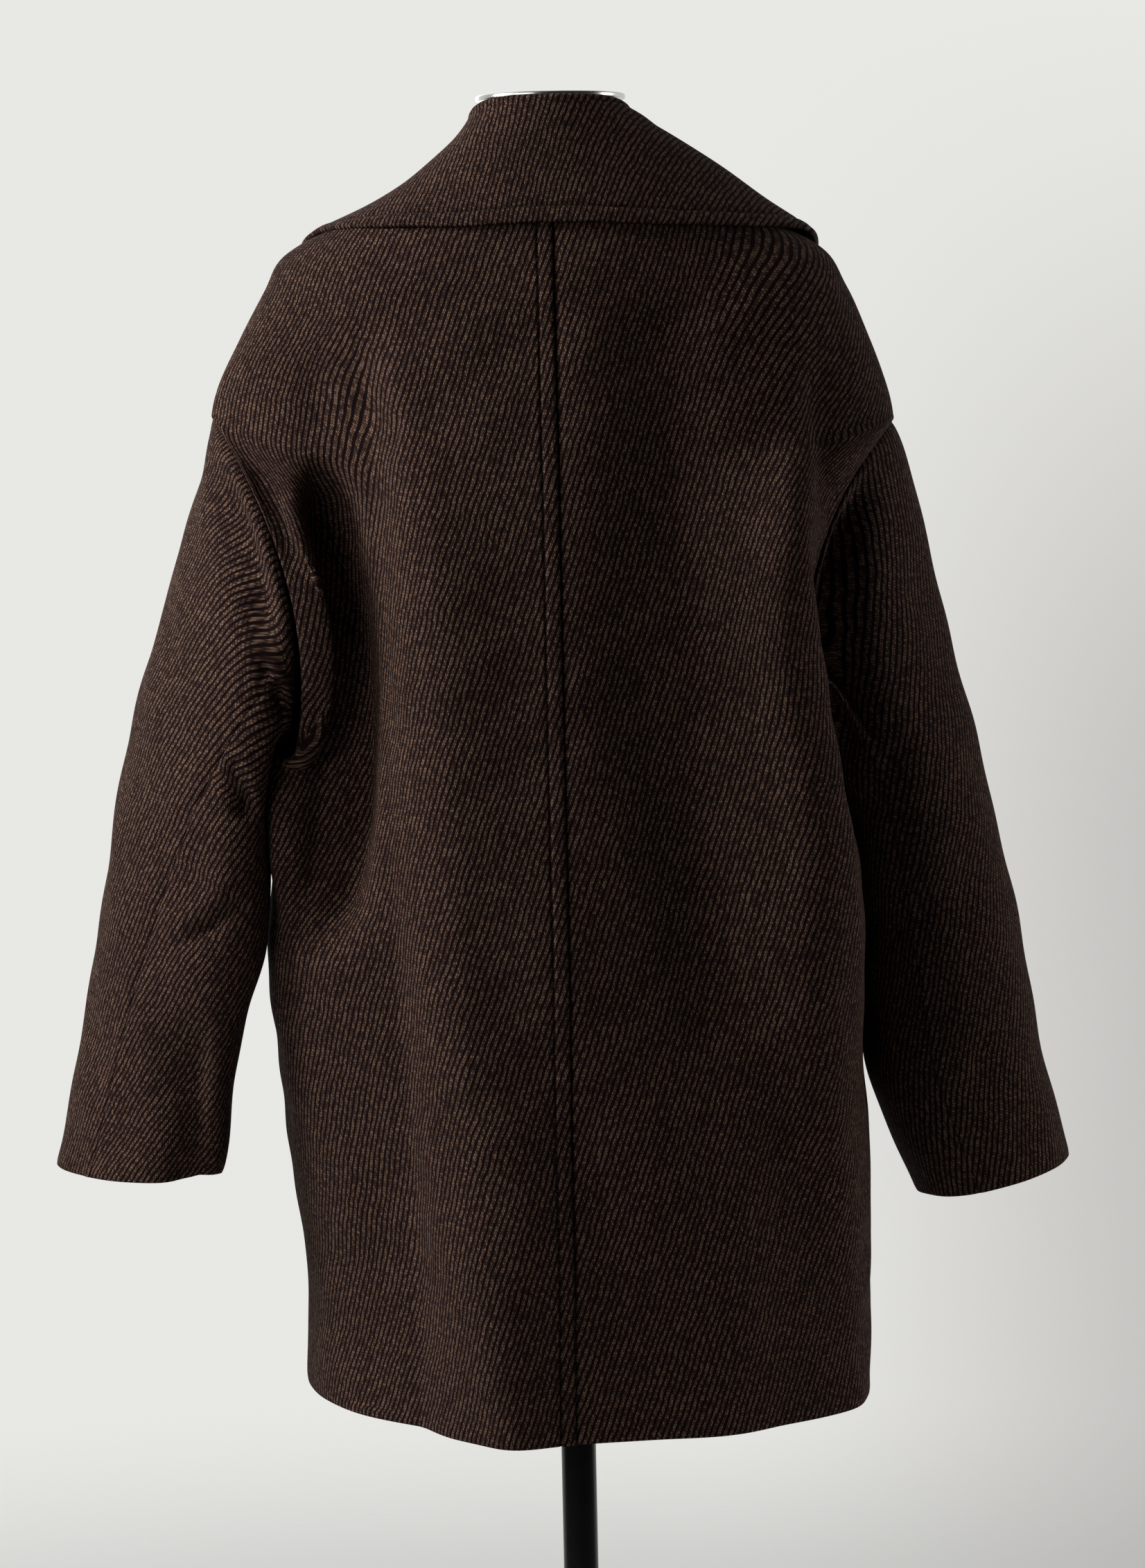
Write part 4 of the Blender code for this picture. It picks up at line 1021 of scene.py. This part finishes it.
def collarGrid():
    cut = collarCut
    places = np.linspace(-1.0, 1.0, cut["placeSteps"] + 1)
    top = places * cut["endTop"]
    beyond = (np.abs(places) - 0.5) / 0.5
    onFront = np.sign(places) * (0.5 + beyond * (cut["endEdge"] - 0.5))
    edgePlace = np.where(np.abs(places) > 0.5, onFront, places)
    rows = [standPoint(top, share) for share in np.linspace(0.0, 1.0, cut["standSteps"] + 1)[:-1]]
    outward = neckOutward(top)
    centre = neckRing(top) + outward * cut["foldBend"]
    for angle in np.linspace(math.pi, 0.0, cut["bendSteps"] + 1):
        bend = outward * math.cos(angle) + np.array([0.0, 0.0, math.sin(angle)])
        rows.append(centre + bend * cut["foldBend"])
    level = readColumn(cut, "edgeLevel", places)
    sag = readColumn(cut, "sag", places)
    lift = readColumn(cut, "lift", places) + cut["wall"] / 2.0
    edge = bodyPoint(edgePlace, level) + bodyNormal(edgePlace, level) * lift[:, None]
    start = rows[-1]
    foldRow = len(rows) - 1 - cut["bendSteps"] // 2
    longest = np.linalg.norm(edge - start, axis=1).max()
    shares = closeEnds(longest, cut["fallStep"], cut["edgeStep"])[1:] / longest
    for share in shares:
        point = start + (edge - start) * share
        point[:, 2] -= sag * np.sin(math.pi * share ** cut["sagPower"])
        underPlace = top + (edgePlace - top) * share
        underLevel = bodyCut["neck"] + (level - bodyCut["neck"]) * share
        facing = bodyNormal(underPlace, underLevel)
        height = np.sum((point - bodyPoint(underPlace, underLevel)) * facing, axis=1)
        rows.append(point + facing * np.maximum(lift - height, 0.0)[:, None])
    return np.array(rows), foldRow


def makeCollar():
    cut = collarCut
    grid, foldRow = collarGrid()
    for again in range(cut["easeRounds"]):  # ease the line where the fall meets the shoulder
        inner = grid[foldRow + 6:-6]
        inner += 0.25 * (grid[foldRow + 5:-7] - 2.0 * inner + grid[foldRow + 7:-5])
    runs = runLengths(grid, 0)
    places = np.linspace(-1.0, 1.0, grid.shape[1])
    radius = cut["coneRadius"] + runs - runs[foldRow]
    turn = cut["coneTurn"] * math.pi * places[None, :]
    weave = np.stack([-radius * np.sin(turn), 0.5 - radius * np.cos(turn)], axis=-1)
    normals = gridNormals(grid)
    distances = edgeDistances(grid)
    onFall = smoothStep(*cut["onFall"], runs - runs[foldRow])
    fromEnds = np.minimum(distances["start"], distances["end"])
    fromEdge = np.minimum(distances["last"], fromEnds + (1.0 - onFall))
    bulge, bulgeHalf = cut["edgeBulge"]
    height = -cut["stitchDepth"] * line(fromEdge - cut["stitchLine"], cut["stitchHalf"])
    height += bulge * line(fromEdge - cut["stitchLine"] / 2.0, bulgeHalf)
    height += unevenness(grid, cut["wavesSeed"]) * cut["waves"] * onFall
    grid = grid + normals * (height * onFall)[..., None]
    # painted shade along the collar's stitch line
    press = line(fromEdge - cut["stitchLine"], cut["seamShadeHalf"]) * onFall * 0.85
    return clothPiece("coatCollar", "collar", grid, weave, press, cut["wall"], 0.0), grid, normals, fromEdge


print("sewing the coat")
cloth = {}
for side in ("Left", "Right"):
    cloth["back" + side] = makeBack(side)
    cloth["front" + side] = makeFront(side)
    cloth["sleeveUpper" + side], cloth["sleeveUnder" + side] = makeSleeve(side)
cloth["collar"], collarPoints, collarNormals, collarFromEdge = makeCollar()


def meshPiece(name, bm, finish, nodes, smoothAngle=40.0):
    bmesh.ops.remove_doubles(bm, verts=bm.verts, dist=0.00001)
    bmesh.ops.recalc_face_normals(bm, faces=bm.faces)
    mesh = bpy.data.meshes.new(name)
    bm.to_mesh(mesh)
    bm.free()
    mesh.materials.append(finishes[finish])
    mesh.shade_smooth()
    mesh.set_sharp_from_angle(angle=math.radians(smoothAngle))
    piece = addObject(name, mesh)
    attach(piece, "root")
    if nodes:
        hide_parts(*nodes)
    return piece


# Dark sewing thread along the welt and round the collar
stitching = {
    "length": 0.0036,
    "pitch": 0.0047,
    "half": 0.00028,
    "proud": 0.0001,
    "sides": 6,
    "rings": 4,
    "endColumns": 6,
    "searchRows": 12,
}


def addStitch(bm, start, end, facing):
    run = Vector(end - start)
    size = run.length
    ahead = run.normalized()
    up = Vector(facing)
    aside = up.cross(ahead).normalized()
    up = ahead.cross(aside)
    turn = Matrix((ahead, aside, up)).transposed().to_4x4()
    turn.translation = Vector((start + end) / 2.0)
    shape = Matrix.Diagonal((size / 2.0, stitching["half"] * 1.2, stitching["half"], 1.0))
    bmesh.ops.create_uvsphere(bm, u_segments=stitching["sides"], v_segments=stitching["rings"], radius=1.0,
                              matrix=turn @ shape)


def stitchAlong(bm, route, facings):
    lengths = pathLengths(route)
    count = int(lengths[-1] / stitching["pitch"])
    for k in range(count):
        low = (k + 0.5) * stitching["pitch"] - stitching["length"] / 2.0
        ends = [np.array([np.interp(place, lengths, route[:, axis]) for axis in range(3)])
                for place in (low, low + stitching["length"])]
        facing = np.array([np.interp(low, lengths, facings[:, axis]) for axis in range(3)])
        addStitch(bm, ends[0], ends[1], facing)
    return count


def weltStitches():
    dress = backDress
    levels = np.linspace(*dress["stitchLevels"], 500)
    around = (dress["weltWidth"] - dress["grooveInset"]) / quarterLengths("Left", "Back", levels) / 2.0
    facings = bodyNormal(around, levels)
    route = bodyPoint(around, levels)
    near = unevenness(route, dress["wavesSeed"]) * underCollar(dress, levels)
    bulge = creaseHeights(route, dress["creases"]["Left"])
    height = near + bulge + dress["weltRise"] * 0.6 - dress["grooveDepth"] + stitching["proud"]
    bm = bmesh.new()
    count = stitchAlong(bm, route + facings * height[:, None], facings)
    print("  welt stitches", count)
    return meshPiece("weltStitches", bm, "thread", ())


def collarStitches():
    offLine = np.abs(collarFromEdge - collarCut["stitchLine"])
    half, centre = len(offLine) // 2, offLine.shape[1] // 2
    top = half + int(np.argmin(offLine[half:, centre])) - stitching["searchRows"]
    route, facings = [], []
    for column in range(stitching["endColumns"], offLine.shape[1] - stitching["endColumns"]):
        nearest = top + int(np.argmin(offLine[top:, column]))
        facing = collarNormals[nearest, column]
        route.append(collarPoints[nearest, column] + facing * (collarCut["wall"] / 2.0 + stitching["proud"]))
        facings.append(facing)
    bm = bmesh.new()
    count = stitchAlong(bm, np.array(route), np.array(facings))
    print("  collar stitches", count)
    return meshPiece("collarStitches", bm, "thread", ())


welt = weltStitches()
collarThread = collarStitches()

# Four-hole horn buttons on the right front
buttons = {
    "levels": (1.85, 1.0, 0.605),
    "radius": 0.0145,
    "thick": 0.0042,
    "rim": 0.0032,
    "dish": 0.0011,
    "hole": 0.0012,
    "holeReach": 0.0030,
    "seat": bodyCut["wall"] + frontDress["lapGap"] + 0.0006,
    "strands": (-0.0004, 0.0, 0.0004),
    "threadRise": 0.0003,
    "threadOver": 0.0005,
    "sides": 48,
    "smoothAngle": 50.0,
}


def buttonPlace(level):
    facing = Vector(bodyNormal(np.array(1.0), np.array(level)))
    turn = facing.to_track_quat("Z", "Y").to_matrix().to_4x4()
    turn.translation = Vector(bodyPoint(np.array(1.0), np.array(level))) + facing * buttons["seat"]
    return turn


def spun(profile, sides):
    bm = bmesh.new()
    verts = [bm.verts.new((radius, 0.0, z)) for radius, z in profile]
    edges = [bm.edges.new(pair) for pair in zip(verts, verts[1:])]
    bmesh.ops.spin(bm, geom=verts + edges, cent=(0, 0, 0), axis=(0, 0, 1), angle=2.0 * math.pi, steps=sides,
                   use_merge=True)
    return bm


def makeButton(number, level):
    b = buttons
    radius, thick, well = b["radius"], b["thick"], b["radius"] - b["rim"]
    floor = thick - b["dish"]
    profile = [(0.0, floor), (well - 0.0006, floor), (well, thick - b["dish"] * 0.8),
               (well + 0.0010, thick - 0.0001), (radius - 0.0016, thick), (radius - 0.0006, thick - 0.0005),
               (radius, thick - 0.0015), (radius, 0.0014), (radius - 0.0012, 0.0002), (radius - 0.0030, 0.0),
               (0.0, 0.0)]
    piece = meshPiece("button%d" % number, spun(profile, b["sides"]), "horn",
                      ("button_%d" % number,), b["smoothAngle"])
    cutter = bmesh.new()
    for k in range(4):
        angle = math.pi / 4.0 + k * math.pi / 2.0
        x, y = b["holeReach"] * math.cos(angle), b["holeReach"] * math.sin(angle)
        bmesh.ops.create_cone(cutter, cap_ends=True, segments=14, radius1=b["hole"], radius2=b["hole"],
                              depth=thick * 2.0, matrix=Matrix.Translation((x, y, thick / 2.0)))
    holes = bpy.data.meshes.new("buttonHoles")
    cutter.to_mesh(holes)
    cutter.free()
    drill = addObject("buttonDrill", holes)
    bore = piece.modifiers.new("holes", "BOOLEAN")
    bore.operation = "DIFFERENCE"
    bore.solver = "EXACT"
    bore.object = drill
    drilled = bpy.data.meshes.new_from_object(piece.evaluated_get(bpy.context.evaluated_depsgraph_get()))
    piece.modifiers.clear()
    piece.data = drilled
    bpy.data.objects.remove(drill, do_unlink=True)
    drilled.set_sharp_from_angle(angle=math.radians(b["smoothAngle"]))
    drilled.transform(buttonPlace(level))


def buttonThreads():
    b = buttons
    reach = b["holeReach"] * math.cos(math.pi / 4.0)
    top = b["thick"] - b["dish"] + b["threadRise"]
    bm = bmesh.new()
    for level in b["levels"]:
        place = buttonPlace(level)
        facing = np.array(place.to_3x3() @ Vector((0, 0, 1)))
        for side in (-1.0, 1.0):
            for strand in b["strands"]:
                low, high = (np.array(place @ Vector((x, side * reach + strand, top)))
                             for x in (-reach - b["threadOver"], reach + b["threadOver"]))
                addStitch(bm, low, high, facing)
    meshPiece("buttonThreads", bm, "thread", ())


for number, level in enumerate(buttons["levels"], start=1):
    makeButton(number, level)
buttonThreads()
print("buttons sewn on")

# Limbless dress form under the coat, with its neck cap, pole and base
formCut = {
    "columns": "z halfX yBack yFront",
    "rows": [
        (0.800, 0.150, 0.090, -0.095),
        (0.815, 0.163, 0.099, -0.106),
        (0.870, 0.170, 0.104, -0.110),
        (0.950, 0.152, 0.092, -0.100),
        (1.030, 0.126, 0.076, -0.090),
        (1.120, 0.138, 0.085, -0.105),
        (1.200, 0.152, 0.094, -0.124),
        (1.280, 0.164, 0.097, -0.117),
        (1.330, 0.168, 0.092, -0.098),
    ],
    "lowRings": (0.800, 0.8045, 0.810),
    "bodyRings": (0.815, 1.330, 40),
    "shoulderLevels": (2.625, 3.0),
    "neckShares": (0.12, 1.00),
    "neckTop": (1.4982, 0.0432, 0.0300, -0.0460),
    "shoulderRest": 0.10,
    "restGap": 0.0005,
    "sink": 0.0030,
    "neckSink": 0.0012,
    "neckSinkLevels": (2.875, 3.0),
    "neckClear": 0.0024,
    "sides": 112,
    "weaveStep": 0.0085,
    "smoothAngle": 50.0,
}


def ellipseRing(z, halfX, yBack, yFront, angles):
    reach = np.where(np.cos(angles) >= 0.0, yBack, -yFront)
    return np.stack([halfX * np.sin(angles), reach * np.cos(angles), z + 0.0 * angles], axis=-1)


def makeForm():
    cut = formCut
    angles = np.linspace(0.0, 2.0 * math.pi, cut["sides"] + 1)
    places = angles / math.pi
    places = np.where(places > 1.0, places - 2.0, places)
    heights = np.concatenate([cut["lowRings"], np.linspace(*cut["bodyRings"])])
    names = cut["columns"].split()[1:]
    rings = []
    for z in heights:
        sizes = [float(readColumn(cut, name, np.array(z))) for name in names]
        rings.append(ellipseRing(z, *sizes, angles))
    aside = (np.abs(places) - 0.5) / cut["shoulderRest"]
    for level in np.linspace(*cut["shoulderLevels"], 14):
        inset = bodyCut["wall"] + cut["restGap"] + cut["sink"] * (1.0 - np.exp(-aside ** 2))
        inset = inset + cut["neckSink"] * smoothStep(*cut["neckSinkLevels"], level)
        rings.append(bodyPoint(places, level) - bodyNormal(places, level) * inset[:, None])
    neckInset = collarCut["wall"] / 2.0 + cut["neckClear"]
    for share in np.linspace(*cut["neckShares"], 8):
        rings.append(standPoint(places, share) - neckOutward(places) * neckInset)
    rings.append(ellipseRing(*cut["neckTop"], angles))
    grid = np.array(rings)
    across = np.cumsum(np.full(grid.shape[:2], cut["weaveStep"]), axis=1)
    weave = np.stack([across, runLengths(grid, 0)], axis=-1)
    bm = gridMesh(grid, weave)
    bmesh.ops.remove_doubles(bm, verts=bm.verts, dist=0.00001)
    bmesh.ops.holes_fill(bm, edges=[edge for edge in bm.edges if edge.is_boundary], sides=0)
    meshPiece("dressForm", bm, "linen", ("form_torso",), cut["smoothAngle"])


def turned(name, node, profile, finish, sides=96, smoothAngle=40.0, middle=0.0):
    bm = spun(profile, sides)
    bmesh.ops.translate(bm, verts=bm.verts, vec=(0.0, middle, 0.0))
    meshPiece(name, bm, finish, (node,), smoothAngle)


def roundCorner(radius, z, size, steps=4, down=True):
    corner = []
    for k in range(steps + 1):
        angle = math.pi / 2.0 * k / steps
        drop = size * (1.0 - math.cos(angle)) if down else size * (1.0 - math.sin(angle))
        back = size * (1.0 - math.sin(angle)) if down else size * (1.0 - math.cos(angle))
        corner.append((radius - back, z - drop if down else z + drop))
    return corner


stand = {
    "capRadius": 0.0525,
    "capMiddle": -0.012,  # the neck stands a little before the pole
    "capBottom": 1.4985,
    "capThick": 0.0036,
    "capEdge": 0.0011,
    "poleRadius": 0.0125,
    "poleTop": 0.7997,
    "poleChamfer": 0.0006,
    "baseRadius": 0.155,
    "baseRim": 0.010,
    "baseTop": 0.024,
    "hubRadius": 0.030,
    "gap": 0.0003,
}


def makeStand():
    s = stand
    capTop = s["capBottom"] + s["capThick"]
    cap = [(0.0, capTop), (0.018, capTop), (0.0186, capTop - 0.0004), (0.0192, capTop)]
    cap += roundCorner(s["capRadius"], capTop, s["capEdge"])
    cap += roundCorner(s["capRadius"], s["capBottom"], s["capEdge"], down=False)
    cap.append((0.0, s["capBottom"]))
    turned("neckCap", "neck_cap", cap, "steel", middle=s["capMiddle"])
    radius, top, foot, chamfer = s["poleRadius"], s["poleTop"], s["baseTop"] + s["gap"], s["poleChamfer"]
    pole = [(0.0, top), (radius - chamfer, top), (radius, top - chamfer)]
    pole += [(radius, z) for z in np.linspace(top - 0.004, foot + 0.004, 12)]
    pole += [(radius, foot + chamfer), (radius - chamfer, foot), (0.0, foot)]
    turned("standPole", "pole", pole, "black", 64)
    radius, rim, hub = s["baseRadius"], s["baseRim"], s["hubRadius"]
    base = [(0.0, s["baseTop"]), (hub - 0.002, s["baseTop"])]
    base += [(hub + (radius - 0.004 - hub) * t, s["baseTop"] - (s["baseTop"] - rim) * (t ** 0.9))
             for t in np.linspace(0.0, 1.0, 10)]
    base += [(radius - 0.0015, rim - 0.0006), (radius, rim - 0.0022), (radius, 0.0012),
             (radius - 0.0010, 0.0), (0.0, 0.0)]
    turned("standBase", "base", base, "black", 128, 30.0)


makeForm()
makeStand()
print("form and stand built")

# Studio: pale floor that melts into a pale backdrop, big soft light from the wearer's left
studio = {
    "floorRadius": 7.0,
    "floorSolid": 0.6,
    "floorFade": 2.4,
    "floorColour": colour(0.80, 0.80, 0.785),
    "backdrop": colour(0.805, 0.805, 0.780),
    "backdropShade": colour(0.53, 0.515, 0.50),  # the side away from the key light
    "darkRoom": colour(0.020, 0.020, 0.020),  # what gloss sees on the camera's side
    "lights": {
        "keyLight": {"at": (1.50, 0.24, 1.96), "aim": (0.05, 0.05, 1.10), "size": (0.6, 1.2), "power": 30.0},
        "sideFill": {"at": (2.2, 2.45, 1.8), "aim": (0.0, 0.0, 1.0), "size": (1.6, 1.6), "power": 25.0},
        "rightBounce": {"at": (-2.6, -0.35, 1.3), "aim": (0.0, 0.0, 1.0), "size": (1.2, 1.6), "power": 21.0},
        "topSoft": {"at": (0.2, 0.1, 3.6), "aim": (0.0, 0.0, 1.0), "size": (2.6, 2.6), "power": 5.0},
        "frontSoft": {"at": (0.9, -3.2, 1.9), "aim": (0.0, 0.0, 1.0), "size": (2.2, 2.2), "power": 30.0},
    },
}


def aimed(at, aim):
    return (Vector(aim) - Vector(at)).to_track_quat("-Z", "Y").to_matrix().to_4x4()


def makeStudio():
    paint = Paint("paleFloor")
    place = paint.node("ShaderNodeTexCoord", None, None, "Object")
    split = paint.node("ShaderNodeSeparateXYZ", None, {"Vector": place})
    reach = (split * split + split.other("Y") * split.other("Y")).power(0.5)
    grain = paint.noise(place, 9.0, 3.0)
    floorColour = paint.mix(grain * 0.12, studio["floorColour"], colour(0.74, 0.74, 0.72))
    paint.finish(Base_Color=floorColour, Roughness=0.9, Specular_IOR_Level=0.1)
    clear = paint.node("ShaderNodeBsdfTransparent")
    shown = paint.node("ShaderNodeMixShader", None, {0: reach.ease(studio["floorSolid"], studio["floorFade"]),
                                                     1: Wire(paint, paint.shader.outputs[0]), 2: clear})
    paint.feed(paint.tree.nodes["Material Output"].inputs["Surface"], shown)
    bm = bmesh.new()
    bmesh.ops.create_circle(bm, cap_ends=True, segments=96, radius=studio["floorRadius"])
    mesh = bpy.data.meshes.new("floor")
    bm.to_mesh(mesh)
    bm.free()
    mesh.materials.append(paint.material)
    addObject("floor", mesh)
    for name, light in studio["lights"].items():
        data = bpy.data.lights.new(name, "AREA")
        data.shape = "RECTANGLE"
        data.size, data.size_y = light["size"]
        data.energy = light["power"]
        lamp = addObject(name, data)
        lamp.matrix_world = Matrix.Translation(light["at"]) @ aimed(light["at"], light["aim"])
        lamp.visible_camera = False
    world = bpy.data.worlds.new("paleRoom")
    room = Paint("paleRoom", world)
    direction = room.node("ShaderNodeTexCoord", None, None, "Generated")
    heading = room.node("ShaderNodeSeparateXYZ", None, {"Vector": direction})
    aside, away, rise = heading, heading.other("Y"), heading.other("Z")
    shade = (aside * -1.0).ease(0.02, 0.17) * (1.0 - rise.ease(-0.12, 0.10))
    seen = room.mix(shade, studio["backdrop"], studio["backdropShade"])
    gloss = room.mix(away.ease(-0.55, -0.15), studio["backdrop"], studio["darkRoom"])
    straight = room.node("ShaderNodeLightPath", None, None, "Is Camera Ray")
    room.finish(Color=room.mix(straight, gloss, seen))
    world.cycles_visibility.diffuse = False
    bpy.context.scene.world = world
    bpy.context.scene.view_settings.view_transform = "Standard"


# Camera at the photograph's angle: behind the coat, a little above its middle
cameraPlace = {
    "lens": 36.0 * 6020.0 / 2263.0,
    "sensor": 36.0,
    "at": (-0.00554, 2.95, 1.30825),
    "pitch": math.radians(5.6337),
    "roll": math.radians(1.2),
}


def makeCamera():
    c = cameraPlace
    data = bpy.data.cameras.new("photoCamera")
    data.sensor_fit = "VERTICAL"
    data.sensor_height = c["sensor"]
    data.lens = c["lens"]
    data.clip_end = 60.0
    right = Vector((-1.0, 0.0, 0.0))
    ahead = Vector((0.0, -math.cos(c["pitch"]), -math.sin(c["pitch"])))
    up = right.cross(ahead)
    rolledRight = right * math.cos(c["roll"]) - up * math.sin(c["roll"])
    rolledUp = up * math.cos(c["roll"]) + right * math.sin(c["roll"])
    placed = Matrix((rolledRight, rolledUp, -ahead)).transposed().to_4x4()
    placed.translation = Vector(c["at"])
    camera = addObject("photoCamera", data)
    camera.matrix_world = placed
    bpy.context.scene.camera = camera


makeStudio()
makeCamera()
print("studio and camera set")
